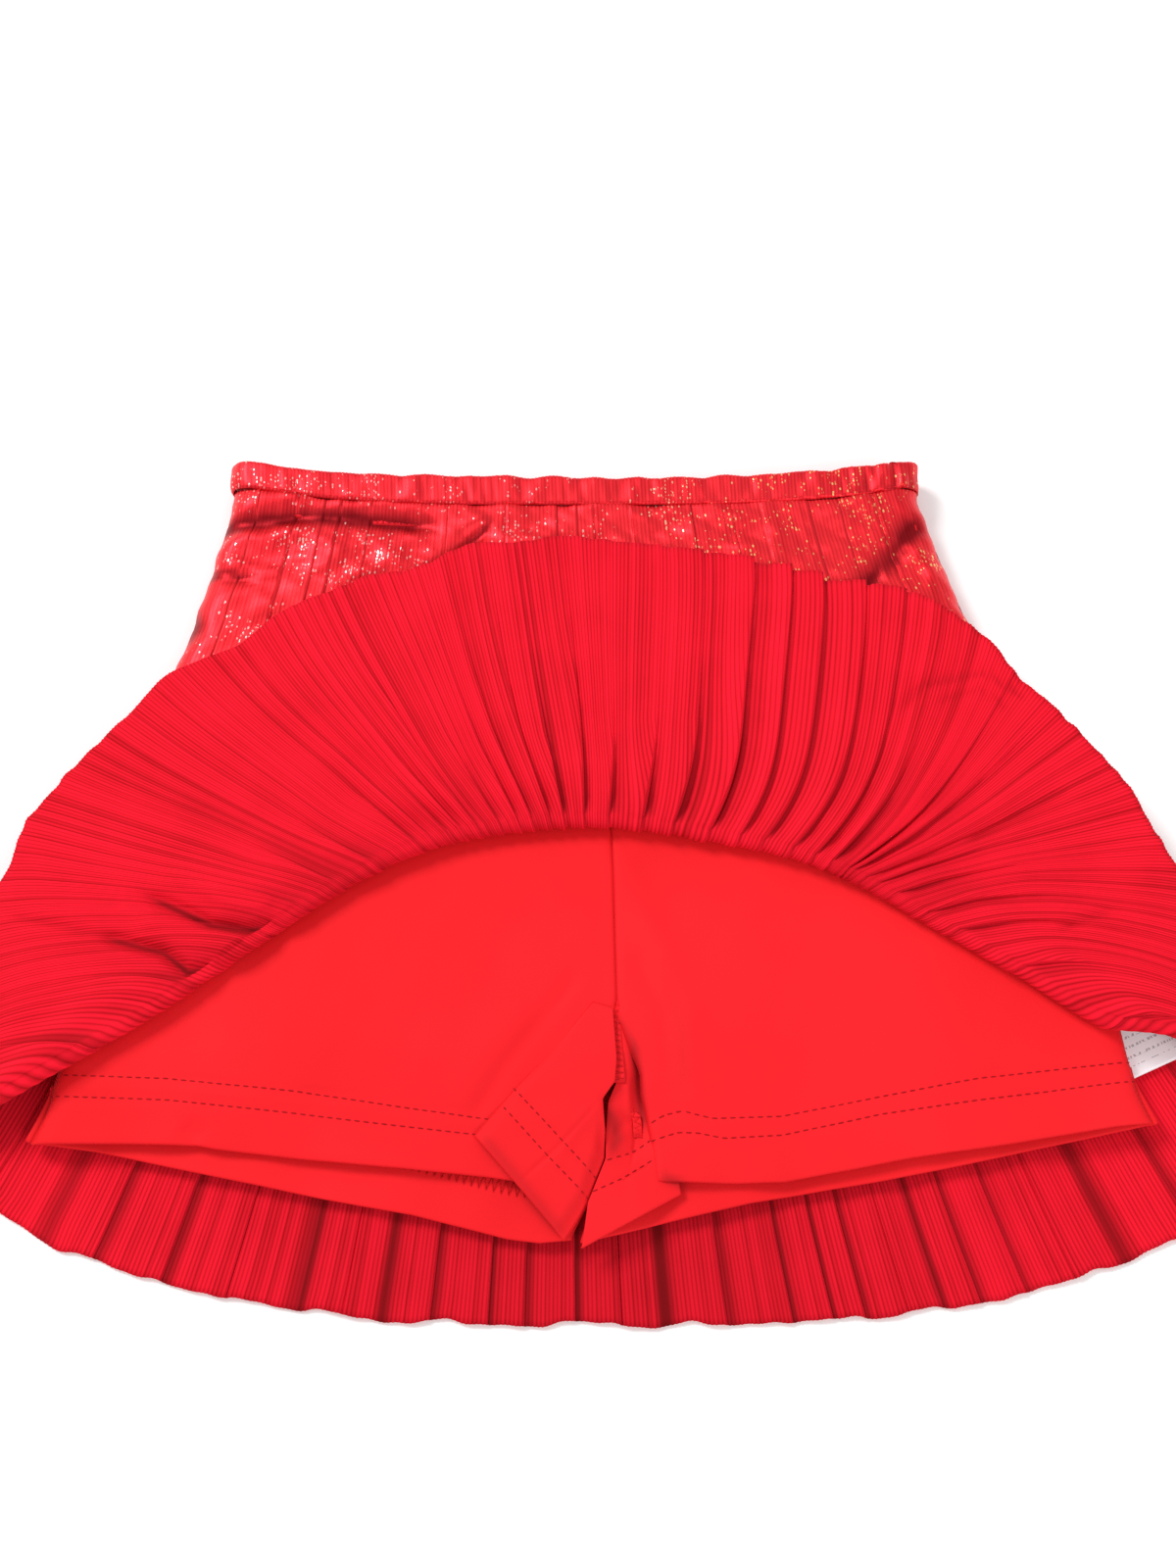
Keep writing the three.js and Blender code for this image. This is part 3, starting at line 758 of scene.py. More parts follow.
def build_back():
    """Rows from the hem up to the waist seam, close together where the back shows."""
    b = np.concatenate([np.linspace(0, 0.30, 38), np.linspace(0.34, 1, 16)])[:, None]
    strength = back.strength[back.k]
    lay, up = back.lay(0.40 * strength * (0.55 + 0.45 * b) * np.ones_like(b))
    a = 2 * lay / BACK_RIBS - 1
    hem_x = a * HEM_HALF
    hem_y = back_hem_y(hem_x)
    y = hem_y + (Y_SEAM + sag(a * WAIST_HALF) - hem_y) * b
    t = (Y_SEAM - y) / (Y_SEAM - hem_y)
    edge_x = a * (WAIST_HALF + (HEM_HALF - WAIST_HALF) * (0.5 * t + 0.5 * t * np.abs(t)))
    frill = smooth((0.03 - b) / 0.03)
    y = y + frill * (0.5 * waves(lay, lay * 0, 12.0, 1.0, 61) + 0.9 * waves(lay, lay * 0, 34.0, 1.0, 62))
    z = 0.75 + 1.9 * strength * up * (0.6 + 0.4 * b)
    z = z + 0.3 * waves(lay, b * 200, 50.0, 90.0, 63) * smooth(b / 0.2)
    z = np.clip(z, 0.62, 2.9)
    z = z + 3.6 * rounded(HEM_HALF * (1 - np.abs(a)) / 8.0) * smooth((b - 0.2) / 0.1)
    top = np.stack([edge_x + lean(y), y, z], -1)
    uv = together(back.s * 1.25, y - hem_y)
    # Painted shade: the back darkens towards its middle and in the low part of each pleat's slope.
    shade = 0.60 + 0.36 * np.abs(a) - 0.78 * smooth((0.28 - up) / 0.28) * strength
    return top, uv, {"crest": back.crest, "rib_number": back.rib, "shade": shade,
                     "tone": back.rib_tone[back.rib]}


# ---- Waistband ----

BAND_RIBS = 396
BAND_WALL = 3.4
BAND_CENTRE_Z = band_low[2]


def band_path(share):
    """The middle of the band's wall round the loop: the centre of the turn, its radius and the angle."""
    radius = BAND_TOP - BAND_WALL / 2 - BAND_CENTRE_Z
    straight = 2 * (WAIST_HALF - BAND_WALL / 2 - radius)
    turn = math.pi * radius
    run = share * 2 * (straight + turn)
    on_front = run < straight
    on_left = (run >= straight) & (run < straight + turn)
    on_back = (run >= straight + turn) & (run < 2 * straight + turn)
    angle = np.where(
        on_front, math.pi / 2,
        np.where(on_left, math.pi / 2 + (run - straight) / radius,
                 np.where(on_back, 1.5 * math.pi, 1.5 * math.pi + (run - 2 * straight - turn) / radius)),
    )
    behind = run - straight - turn - straight / 2
    centre = np.where(
        on_front, straight / 2 - run,
        np.where(on_left, -straight / 2, np.where(on_back, behind, straight / 2)),
    )
    return centre, radius, angle


def build_band():
    """The casing's section runs from the outer seam, over the top edge and down the inside."""
    rng = np.random.default_rng(71)
    cols = 2 * BAND_RIBS
    share = np.arange(cols) / cols
    centre, radius, angle = band_path(share)
    depth = Y_TOP - Y_SEAM
    half = BAND_WALL / 2
    flat = np.linspace(0, 1, 9)[:-1]
    outer = [(half + 0.15 * math.sin(math.pi * t), Y_SEAM + t * (depth - half)) for t in flat]
    crown = [(half * math.cos(a), Y_TOP - half + half * math.sin(a)) for a in np.linspace(0, math.pi, 9)]
    section = outer + crown + [(-n, y) for n, y in reversed(outer)]
    n = np.array([p[0] for p in section])[:, None]
    y = np.array([p[1] for p in section])[:, None]
    crest = (np.arange(cols) % 2).astype(float)
    x_here = centre + radius * np.cos(angle)
    gathered = 0.45 + 0.9 * smooth((x_here - 80) / 25)
    height = (y - Y_SEAM) / depth
    along = share * 530
    ruche = 0.55 * waves(along, height * 12, 13.0, 22.0, 72) + 0.3 * waves(along, y, 6.0, 30.0, 73)
    ruche = gathered * ruche
    outward = np.sign(n)
    edge = smooth(np.minimum(height / 0.12, 1))
    n = n + outward * ruche * edge - 0.5 * outward * bell(height, 0, 0.10)
    y = y + 0.6 * waves(along, along * 0, 24.0, 1.0, 74) * height + sag(x_here)
    x = centre + (radius + n) * np.cos(angle)
    z = np.maximum(BAND_CENTRE_Z + (radius + n) * np.sin(angle), 0.3)
    grid = np.stack([x + lean(y), y * np.ones_like(x), z], -1)
    uv = together(np.arange(cols) * 0.65, y)
    tone = rng.uniform(-0.4, 0.5, cols // 2)[np.arange(cols) // 2]
    # Painted shade: the foil darkens in the hollows of the gathers.
    painted_fold_dark = np.clip(-0.5 * ruche, -0.5, 0.6)
    return grid, uv, {"crest": crest * edge, "rib_number": np.arange(cols) // 2, "shade": 1 + 0 * y,
                      "tone": tone,
                      "painted_fold_shade": painted_fold_dark}


def build_elastic():
    """A woven band of elastic, a plain loop inside the casing."""
    cols = 260
    centre, radius, angle = band_path(np.arange(cols) / cols)
    y = np.linspace(Y_SEAM + 1.4, Y_TOP - 1.6, 25)[:, None]
    cord = 0.12 * np.cos(np.arange(25) * math.pi)[:, None]
    x = centre + (radius + 0.45 + cord) * np.cos(angle)
    z = BAND_CENTRE_Z + (radius + 0.45 + cord) * np.sin(angle)
    y = y + sag(centre + radius * np.cos(angle))
    uv = together(np.arange(cols) * 2.0, y)
    return np.stack([x + lean(y), y, z], -1), uv


# ---- Shorts ----

JERSEY_THICK = 0.6
TURN_UP = 20.0
FRONT_Z = 14.2
BACK_Z = 5.2


def shorts_side(y):
    """Half the shorts' width. They lie straighter at the hem than the skirt does."""
    return side_x(y) - 4.6 - LEG_EASE * (Y_SEAM - y) / 242


def shorts_rim(y):
    return shorts_side(y) + 0.6 + 8.5 * bell(y, -52, 26) - 1.0 * smooth((-80 - y) / 10)


def shorts_lean(y):
    return lean(y) * smooth((y + 96) / 150)


CENTRE_SEAM = ((-84, 3.4), (-78, 8.4), (-70, 7.8), (-58, 6.8), (-41, 8.6), (13, 7.2), (146, -6.0))
FRONT_HEM = {
    "left": ((-191, -98), (-158, -98), (-135, -98.6), (-129, -99.8), (-101, -103), (-68, -106), (-35, -109.3),
             (-12, -113)),
    "right": ((22, -110.8), (48, -111.4), (65, -111), (87, -107), (109, -102.7), (143, -98), (179, -92.2),
              (191, -91)),
}
BACK_HEM = {
    "left": ((-193, -97), (-170, -100), (-140, -106.3), (-91, -116.3), (-61, -121.6), (-29, -129.6),
             (-18, -131), (-7, -130)),
    "right": ((-4, -131), (9.5, -128), (26, -123.9), (54, -117.5), (99, -110), (127, -104.6), (161, -97.4),
              (191, -91)),
}
HEM_ROWS = {
    "left": (((-181, -75.6), (-146, -76.7), (-102, -81), (-68, -86), (-36, -90.5)),
             ((-189, -82.5), (-146, -84), (-102, -88.6), (-68, -92.6), (-37, -96))),
    "right": (((21, -91.3), (25, -89), (31, -87.8), (41, -90.3), (65, -89.6), (99, -82.8), (133, -76.7),
               (186, -70.8)),
              ((21, -97.7), (29, -95.1), (36, -95.2), (45, -97), (65, -96), (99, -88.8), (133, -84),
               (187.5, -77.4))),
}


# Where the jersey lies in its own shade: the line, its half width and how dark it is.
JERSEY_SHADE = (
    (((13, -62), (15.4, -73), (16.9, -90), (14.2, -99)), 1.7, 0.75),
    (((4, -84), (7, -90), (8.5, -97), (5, -105)), 2.2, 0.70),
    (((7, -52), (11, -59), (17, -70)), 1.6, 0.35),
    (((22, -30), (26, -42), (31, -61), (31, -83)), 3.0, 0.14),
    (((-39, -95), (-24, -113), (-9, -131)), 2.2, 0.35),
    (((22, -109), (26, -111), (33, -114)), 1.8, 0.60),
)
# Where the shorts' front rises, or falls: the line, its half width and its height.
JERSEY_FOLDS = (
    (((8, 5), (24, -30), (33, -52), (36, -78), (33, -92)), 6.0, 0.9),
    (((14, -30), (25, -52), (28, -78)), 4.0, -0.7),
    (((-4, -38), (-14, -52), (-30, -72), (-42, -92)), 3.0, -0.8),
    (((-20, -48), (-36, -70), (-50, -88)), 6.0, 0.5),
    (((2, 0), (6, -30), (4, -60)), 5.0, -0.3),
)


def crease_gloom(grid):
    """Where the jersey at the crotch and at the leg openings lies in its own shade."""
    x, y = grid[..., 0], grid[..., 1]
    gloom = sum(line(x, y, points, width, depth) for points, width, depth in JERSEY_SHADE)
    return np.clip(gloom, 0, 0.9)


def along_line(points, t):
    """A point at share t of a line's length."""
    p = np.asarray(points, float)
    run = np.concatenate([[0], np.cumsum(np.linalg.norm(np.diff(p, axis=0), axis=1))])
    return np.stack([np.interp(np.asarray(t) * run[-1], run, p[:, i]) for i in range(p.shape[1])], -1)


def seam_x(y):
    ys, xs = zip(*CENTRE_SEAM)
    return np.interp(y, ys, xs)


def jersey_swell(x, y):
    """The soft waves of the shorts' front, and the creases that run from the crotch."""
    z = 0.30 * waves(x, y, 85.0, 60.0, 81) + 0.10 * waves(x, y, 26.0, 40.0, 82)
    for points, width, height in JERSEY_FOLDS:
        z = z + line(x, y, points, width, height)
    return z


def hem_walk(down, steps_up):
    """Rows of a leg: the share of the way down, the turn round the hem, and how far back up the turn-up."""
    for b in down:
        yield b, 0.0, 0.0
    for turn in np.linspace(0, math.pi, 7)[1:]:
        yield 1.0, turn, 0.0
    for u in np.linspace(0, 1, steps_up)[1:]:
        yield 1.0, math.pi, u * TURN_UP


def leg_row(side, y_mid, inner, cols, hem, b):
    """One row across a leg: its points, and how far its outer fold has rounded off."""
    left = side == "left"
    x_rim = shorts_rim(y_mid) * (-1 if left else 1) + shorts_lean(y_mid)
    x = x_rim + (inner - x_rim) * cols if left else inner + (x_rim - inner) * cols
    waist_y = Y_SEAM - 0.6 + sag(x) * smooth((y_mid - 90) / 50)
    return x, waist_y + (y_row(x, hem) - waist_y) * b, rounded(np.abs(x - x_rim) / 9.0)


def build_leg_front(side):
    """One leg's front, with its hem turned up inside. Columns run from left to right."""
    cols = np.linspace(0, 1, 133)
    cols = cols + 0.06 * np.sin(2 * math.pi * cols) / (2 * math.pi)
    down = np.concatenate([np.linspace(0, 0.42, 14), np.linspace(0.44, 1, 66)])
    tuck = ((-112, 22.4), (-98, 20.9), (-87, 19.6), (-73, 16.6), (-66, 16.4), (-57, 12.5), (-48, 8.6))
    grid = []
    for b, turn, back_up in hem_walk(down, 12):
        y_mid = Y_SEAM - 0.4 + (-100 - Y_SEAM) * b + back_up
        inner = seam_x(y_mid)
        if side == "right":
            inner = np.where(y_mid < -48, np.interp(y_mid, *zip(*tuck)), inner)
        else:
            inner = np.where(y_mid < -60, np.interp(y_mid, (-112, -84, -60), (-8, -2, 6.8)), inner)
        x, y, round_off = leg_row(side, y_mid, inner, cols, FRONT_HEM[side], b)
        z = FRONT_Z - 3.4 * smooth((-62 - y) / 45) - 3.4 * round_off * smooth((-y + 130) / 60)
        z = z + jersey_swell(x, y) * smooth((20 - y) / 20)
        seam_dip = bell(np.abs(x - inner), 0, 1.0)
        z = z - seam_dip * np.where(y > -50, 0.5, 1.6)
        for row in HEM_ROWS[side]:
            z = z - line(x, y, row, 1.0, 0.42)
        step = smooth((y_row(x, HEM_ROWS[side][0]) - y) / 1.2)
        z = z + 0.35 * step
        z = z + 0.45 * waves(x, y * 0, 30.0, 1.0, 83) * smooth((-88 - y) / 20)
        z = z - 0.9 * line(x, y, ((-140, -92), (-134, -99)), 4.0, 1.0)
        y = y - 0.9 * math.sin(turn) + back_up
        z = z - 0.85 * (1 - math.cos(turn))
        grid.append(np.stack([x, y, np.maximum(z, 7.6)], -1))
    return np.array(grid)[::-1]


def y_row(x, row):
    xs, ys = zip(*row)
    return np.interp(x, xs, ys)


def build_leg_back(side):
    """One leg's back, inside up, with its hem turned up on top."""
    hem = BACK_HEM[side]
    crotch_x = hem[-1][0] if side == "left" else hem[0][0]
    cols = np.linspace(0, 1, 121)
    down = np.concatenate([np.linspace(0, 0.7, 12), np.linspace(0.74, 1, 12)])
    grid = []
    for b, turn, back_up in hem_walk(down, 22):
        y_mid = Y_SEAM - 0.4 + (-104 - Y_SEAM) * b + back_up
        low_inner = np.interp(y_mid, (-104, -84, -70), (crotch_x, 3.5, 8))
        inner = np.where(y_mid < -70, low_inner, seam_x(y_mid))
        x, y, round_off = leg_row(side, y_mid, inner, cols, hem, b)
        z = BACK_Z - 0.6 + 0.8 * smooth((-80 - y) / 30) + 2.6 * round_off * smooth((-y + 130) / 60)
        z = z + 0.5 * waves(x, y * 0, 34.0, 1.0, 91) * smooth((-70 - y) / 25) + 0.15 * waves(x, y, 60, 60, 92)
        y = y - 0.8 * math.sin(turn) + back_up
        z = z + 0.75 * (1 - math.cos(turn))
        grid.append(np.stack([x, y, np.maximum(z, 3.9)], -1))
    return np.array(grid)


def patch(left_line, right_line, rows, cols):
    """A grid between two lines, from their starts down to their ends."""
    b = np.linspace(0, 1, rows)
    lo = along_line(left_line, b)[:, None]
    hi = along_line(right_line, b)[:, None]
    a = np.linspace(0, 1, cols)[None, :, None]
    return lo + (hi - lo) * a


def turned_hem(grid, gap, turn_up):
    """Adds a turned-up hem below a grid whose last row is its hem. The grid's columns keep their places."""
    last, before = grid[-1], grid[-4]
    way = last - before
    way[:, 2] = 0
    way = way / np.linalg.norm(way, axis=1, keepdims=True)
    rows = []
    for t in np.linspace(0, math.pi, 7)[1:]:
        row = last + way * math.sin(t) * gap * 0.6
        row[:, 2] -= gap * (1 - math.cos(t)) / 2
        rows.append(row)
    for d in np.linspace(0, turn_up, 8)[1:]:
        row = last - way * d
        row[:, 2] -= gap
        rows.append(row)
    return np.concatenate([grid, np.array(rows)])


def build_inner_left():
    """The inside of one leg, folded over the front of it, with the inseam down its middle."""
    fold = ((0.5, -50), (-12.7, -65.6), (-26, -79.6), (-31.7, -86), (-39.8, -95.8))
    rim = ((7.0, -52), (8.4, -70), (7.8, -78), (3.6, -84), (4.4, -95), (4.0, -104), (-1.5, -119), (-9, -131))
    flat = patch(fold, rim, 73, 61)
    x, y = flat[..., 0], flat[..., 1]
    a = np.linspace(0, 1, 61)[None]
    b = np.linspace(0, 1, 73)[:, None]
    start = smooth(b / 0.55)
    z = 14.75 - 1.6 * smooth((b - 0.35) / 0.5) + 0.5 * start
    z = z + 1.5 * start * np.sin(np.clip(a, 0, 1) * math.pi) ** 0.7
    z = z - 1.0 * start * bell(a, 0, 0.05) - 2.6 * smooth((a - 0.86) / 0.14) * smooth((b - 0.45) / 0.2)
    z = z + 0.30 * waves(x, y, 30, 30, 95) * start + line(x, y, ((6, -82), (-4, -92), (-14, -108)), 2.2, 0.35)
    z = z - line(x, y, INNER_ROWS["left"][0], 0.9, 0.3) - line(x, y, INNER_ROWS["left"][1], 0.9, 0.3)
    z = z - line(x, y, INSEAM["left"], 0.7, 0.55)
    grid = np.stack([x, y, z], -1)
    return turned_hem(grid, 1.5, 18.0)


def build_inner_right():
    """The inside of the other leg, tucked in below its front."""
    rim = ((8.4, -46), (8.6, -70), (8.2, -78), (5.4, -84.5), (4.6, -95), (4.5, -104), (-1.5, -119),
           (-3.5, -133.5))
    tuck = ((15.0, -46), (23, -66), (25.5, -86), (27.5, -100), (30.0, -115))
    flat = patch(rim, tuck, 73, 61)
    x, y = flat[..., 0], flat[..., 1]
    a = np.linspace(0, 1, 61)[None]
    b = np.linspace(0, 1, 73)[:, None]
    z = 13.2 - 1.2 * smooth(b / 0.4) - 3.4 * bell(a, 0.55, 0.26) * bell(b, 0.56, 0.26)
    z = z - 2.0 * smooth((a - 0.5) / 0.5) * smooth((b - 0.6) / 0.3) + 0.8 * smooth((b - 0.6) / 0.3) * (1 - a)
    z = z - line(x, y, ((17, -60), (17, -74), (20, -90)), 2.4, 1.4)
    z = z + line(x, y, ((12, -74), (13, -90)), 1.6, 0.9)
    z = z - line(x, y, ((5.5, -100), (9, -94), (13, -91)), 1.8, 0.9)
    z = z - line(x, y, INNER_ROWS["right"][0], 0.9, 0.3) - line(x, y, INNER_ROWS["right"][1], 0.9, 0.3)
    z = z - line(x, y, INSEAM["right"], 0.7, 0.5)
    grid = np.stack([x, y, z], -1)
    return turned_hem(grid, 1.5, 15.0)


INNER_ROWS = {
    "left": (((-27.4, -79.8), (-10.5, -98.2), (1.6, -111.2)),
             ((-31.4, -85.6), (-14.8, -104), (-1.8, -117.2))),
    "right": (((5.8, -104.3), (12, -102.2), (15.2, -100.7), (22, -96)),
              ((-0.4, -115.6), (9.5, -111), (22, -103.4))),
}
INSEAM = {
    "left": ((3.4, -84), (-1, -89), (-10.5, -99.5), (-24.4, -112.4)),
    "right": ((5.9, -84.5), (14.3, -91), (14.6, -98.3), (13.0, -108)),
}


# ---- Care label ----

LABEL_LONG = 46.0
LABEL_WIDE = 29.6
LABEL_STEP = 6.0
LABEL_RAISE = 2.5  # the satin lies this much nearer the waist than its solids


def build_label(node, long, lift, seed):
    """One satin leaf, sewn into the side seam at its upper right end."""
    low, high = node_box(node)
    cos, sin = math.cos(0.42), math.sin(0.42)
    middle = (low + high) / 2
    u = np.linspace(-long / 2, long / 2, 47)[None]
    v = np.linspace(-LABEL_WIDE / 2, LABEL_WIDE / 2, 31)[:, None]
    x = middle[0] + u * cos - v * sin
    y = middle[1] + LABEL_RAISE + u * sin + v * cos
    free = smooth((-u - 2) / 22)
    z = lift + free * (1.6 + 0.9 * waves(u, v, 30, 24, seed)) + 0.5 * free * (v / 15) ** 2
    uv = together(u + long / 2, v + 15)
    return together(x, y, z), uv


# ---- Threads, made with geometry nodes ----


def stitched(name, lines, material, pitch=3.1, length=2.3, width=0.55, height=0.35):
    """Rows of stitches: each is a small rounded bar that lies along its row."""
    tree, use = STITCH_ROW
    values = {"Pitch": pitch, "Length": length, "Width": width, "Height": height, "Thread": material}
    return run_tree(name, lines, tree, use, values)


def looped(name, lines, material, pitch=2.4, width=5.0, thread=0.42):
    """A thread that runs from side to side along each line, as a looper or an overlock leaves it."""
    tree, use = LOOPER_THREAD
    values = {"Pitch": pitch, "Width": width, "Thread Width": thread, "Thread": material}
    return run_tree(name, lines, tree, use, values)


def run_tree(name, lines, tree, use, values):
    """Runs a node tree on some lines, given in millimetres, and keeps the result as a plain mesh."""
    verts, edges = [], []
    for pts in lines:
        start = len(verts)
        verts += [tuple(float(c) * MM for c in p) for p in pts]
        edges += [(i, i + 1) for i in range(start, len(verts) - 1)]
    mesh = bpy.data.meshes.new(name + "_line")
    mesh.from_pydata(verts, edges, [])
    obj = bpy.data.objects.new(name + "_line", mesh)
    bpy.context.scene.collection.objects.link(obj)
    return apply_tree(obj, name, tree, use, values)


def apply_tree(obj, name, tree, use, values):
    modifier = obj.modifiers.new("made_by_rule", "NODES")
    modifier.node_group = tree
    for key, value in values.items():
        if isinstance(value, float) and key in ("Pitch", "Length", "Width", "Height", "Thread Width"):
            value = value * MM
        modifier[use[key]] = value
    bpy.context.view_layer.update()
    graph = bpy.context.evaluated_depsgraph_get()
    final = obj.evaluated_get(graph)
    made = bpy.data.meshes.new_from_object(final, preserve_all_data_layers=True, depsgraph=graph)
    obj.modifiers.remove(modifier)
    bpy.data.objects.remove(obj)
    made.name = name
    piece = bpy.data.objects.new(name, made)
    bpy.context.scene.collection.objects.link(piece)
    return piece


class Tree:
    """A geometry node tree with named inputs."""

    def __init__(self, name, inputs):
        self.group = bpy.data.node_groups.new(name, "GeometryNodeTree")
        face = self.group.interface
        face.new_socket(name="Geometry", in_out="INPUT", socket_type="NodeSocketGeometry")
        self.use = {}
        for key, kind in inputs.items():
            socket = face.new_socket(name=key, in_out="INPUT", socket_type="NodeSocket" + kind)
            self.use[key] = socket.identifier
        face.new_socket(name="Geometry", in_out="OUTPUT", socket_type="NodeSocketGeometry")
        self.given = self.group.nodes.new("NodeGroupInput").outputs
        self.result = self.group.nodes.new("NodeGroupOutput")

    def add(self, kind, links=(), **settings):
        node = self.group.nodes.new(kind)
        for key, value in settings.items():
            setattr(node, key, value)
        for socket, source in dict(links).items():
            if isinstance(source, bpy.types.NodeSocket):
                self.group.links.new(source, node.inputs[socket])
            else:
                node.inputs[socket].default_value = source
        return node

    def math(self, operation, a, b=0.0):
        return self.add("ShaderNodeMath", {0: a, 1: b}, operation=operation).outputs[0]

    def named(self, name, kind="FLOAT"):
        node = self.add("GeometryNodeInputNamedAttribute", {"Name": name}, data_type=kind)
        return node.outputs["Attribute"]

    def finish(self, geometry, material):
        real = self.add("GeometryNodeRealizeInstances", {0: geometry})
        coat = self.add("GeometryNodeSetMaterial", {"Geometry": real.outputs[0], "Material": material})
        return coat.outputs[0]

    def close(self, geometry):
        self.group.links.new(geometry, self.result.inputs[0])
        return self.group, self.use


def stitch_row_tree():
    t = Tree("stitch_row", {"Pitch": "Float", "Length": "Float", "Width": "Float", "Height": "Float",
                            "Thread": "Material"})
    curve = t.add("GeometryNodeMeshToCurve", {"Mesh": t.given["Geometry"]})
    spots = t.add("GeometryNodeCurveToPoints", {"Curve": curve.outputs[0], "Length": t.given["Pitch"]},
                  mode="LENGTH")
    turn = t.add("FunctionNodeAlignRotationToVector", {"Vector": spots.outputs["Tangent"]}, axis="X",
                 pivot_axis="Z")
    bar = t.add("GeometryNodeMeshUVSphere", {"Segments": 6, "Rings": 4, "Radius": 0.5})
    size = t.add("ShaderNodeCombineXYZ", {0: t.given["Length"], 1: t.given["Width"], 2: t.given["Height"]})
    laid = t.add("GeometryNodeInstanceOnPoints", {
        "Points": spots.outputs[0], "Instance": bar.outputs["Mesh"], "Rotation": turn.outputs[0],
        "Scale": size.outputs[0]})
    return t.close(t.finish(laid.outputs[0], t.given["Thread"]))


def looper_thread_tree():
    t = Tree("looper_thread", {"Pitch": "Float", "Width": "Float", "Thread Width": "Float",
                               "Thread": "Material"})
    curve = t.add("GeometryNodeMeshToCurve", {"Mesh": t.given["Geometry"]})
    step = t.math("MULTIPLY", t.given["Pitch"], 0.5)
    fine = t.add("GeometryNodeResampleCurve", {"Curve": curve.outputs[0], "Length": step}, mode="LENGTH")
    tangent = t.add("GeometryNodeInputTangent").outputs[0]
    across = t.add("ShaderNodeVectorMath", {0: tangent, 1: (0, 0, 1)}, operation="CROSS_PRODUCT").outputs[0]
    odd = t.math("SUBTRACT", t.math("MODULO", t.add("GeometryNodeInputIndex").outputs[0], 2.0), 0.5)
    reach = t.math("MULTIPLY", odd, t.given["Width"])
    push = t.add("ShaderNodeVectorMath", {0: across, "Scale": reach}, operation="SCALE").outputs[0]
    bent = t.add("GeometryNodeSetPosition", {"Geometry": fine.outputs[0], "Offset": push})
    half = t.math("MULTIPLY", t.given["Thread Width"], 0.5)
    ring_node = t.add("GeometryNodeCurvePrimitiveCircle", {"Resolution": 5, "Radius": half})
    tube = t.add("GeometryNodeCurveToMesh", {"Curve": bent.outputs[0], "Profile Curve": ring_node.outputs[0],
                                             "Fill Caps": True})
    return t.close(t.finish(tube.outputs[0], t.given["Thread"]))


def pressed_ribs_tree():
    """Ribs pressed into a cloth: every crest is pushed out along the cloth's normal, by an uneven amount."""
    t = Tree("pressed_ribs", {"Rib Height": "Float", "Unevenness": "Float", "Seed": "Int", "Face": "Material",
                              "Inside": "Material"})
    crest = t.named("crest")
    low = t.math("SUBTRACT", 1.0, t.given["Unevenness"])
    random = t.add("FunctionNodeRandomValue",
                   {2: low, 3: 1.0, "ID": t.named("rib_number", "INT"), "Seed": t.given["Seed"]},
                   data_type="FLOAT").outputs[1]
    rib = t.math("MULTIPLY", crest, random)
    # The stored rib value also sets the painted shade in the rib valleys and the painted highlight on the
    # crests in the materials.
    kept = t.add("GeometryNodeStoreNamedAttribute",
                 {"Geometry": t.given["Geometry"], "Name": "rib", "Value": rib},
                 data_type="FLOAT", domain="POINT")
    push = t.math("MULTIPLY", rib, t.given["Rib Height"])
    out = t.add("ShaderNodeVectorMath", {0: t.add("GeometryNodeInputNormal").outputs[0], "Scale": push},
                operation="SCALE").outputs[0]
    ribbed = t.add("GeometryNodeSetPosition", {"Geometry": kept.outputs[0], "Offset": out})
    faced = t.finish(ribbed.outputs[0], t.given["Face"])
    lined = t.add("GeometryNodeSetMaterial", {"Geometry": faced, "Selection": t.named("lining", "BOOLEAN"),
                                              "Material": t.given["Inside"]})
    return t.close(lined.outputs[0])


STITCH_ROW = stitch_row_tree()
LOOPER_THREAD = looper_thread_tree()
PRESSED_RIBS = pressed_ribs_tree()


def press_ribs(obj, height, unevenness, seed, face, inside):
    tree, use = PRESSED_RIBS
    return apply_tree(obj, obj.name, tree, use, {
        "Rib Height": height * MM, "Unevenness": unevenness, "Seed": seed, "Face": face, "Inside": inside})


# ---- Making the pieces ----

top, uv, given = build_fan()
front_fan = press_ribs(cloth("skirt_front_turned", top, THIN, uv, given), 0.34, 0.6, 3, MATT, FOIL)

top, uv, given = build_panel()
front_upper = press_ribs(cloth("skirt_front_upper", top, THIN, uv, given), 0.24, 0.5, 4, FOIL, MATT)

top, uv, given = build_back()
back_cloth = press_ribs(cloth("skirt_back", top, 0.5, uv, given), 0.36, 0.4, 5, MATT, FOIL)

top, uv, given = build_band()
band = press_ribs(ring_cloth("waistband_casing", top, 0.55, uv, given), 0.2, 0.6, 6, FOIL, MATT)

top, uv = build_elastic()
elastic = plain(ring_cloth("waist_elastic_web", top, 1.0, uv, {}), ELASTIC)


def ride_on(piece, slot, *nodes):
    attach(piece, GARMENT)
    if nodes:
        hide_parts(*nodes)
    return piece


ride_on(front_upper, "foil", "front_panel_upper")
ride_on(back_cloth, "pleat", "back_panel")
ride_on(band, "foil", "waistband_front", "waistband_back")
ride_on(elastic, "elastic", "waist_elastic")
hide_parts("front_fold_roll", "front_flap", "front_wing_left", "front_wing_right")
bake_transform(front_fan)


def jersey_cloth(name, grid, flip=False):
    gloom = crease_gloom(grid[::-1] if flip else grid)
    return plain(cloth(name, grid, JERSEY_THICK, attributes={"gloom": gloom}, flip=flip), JERSEY)


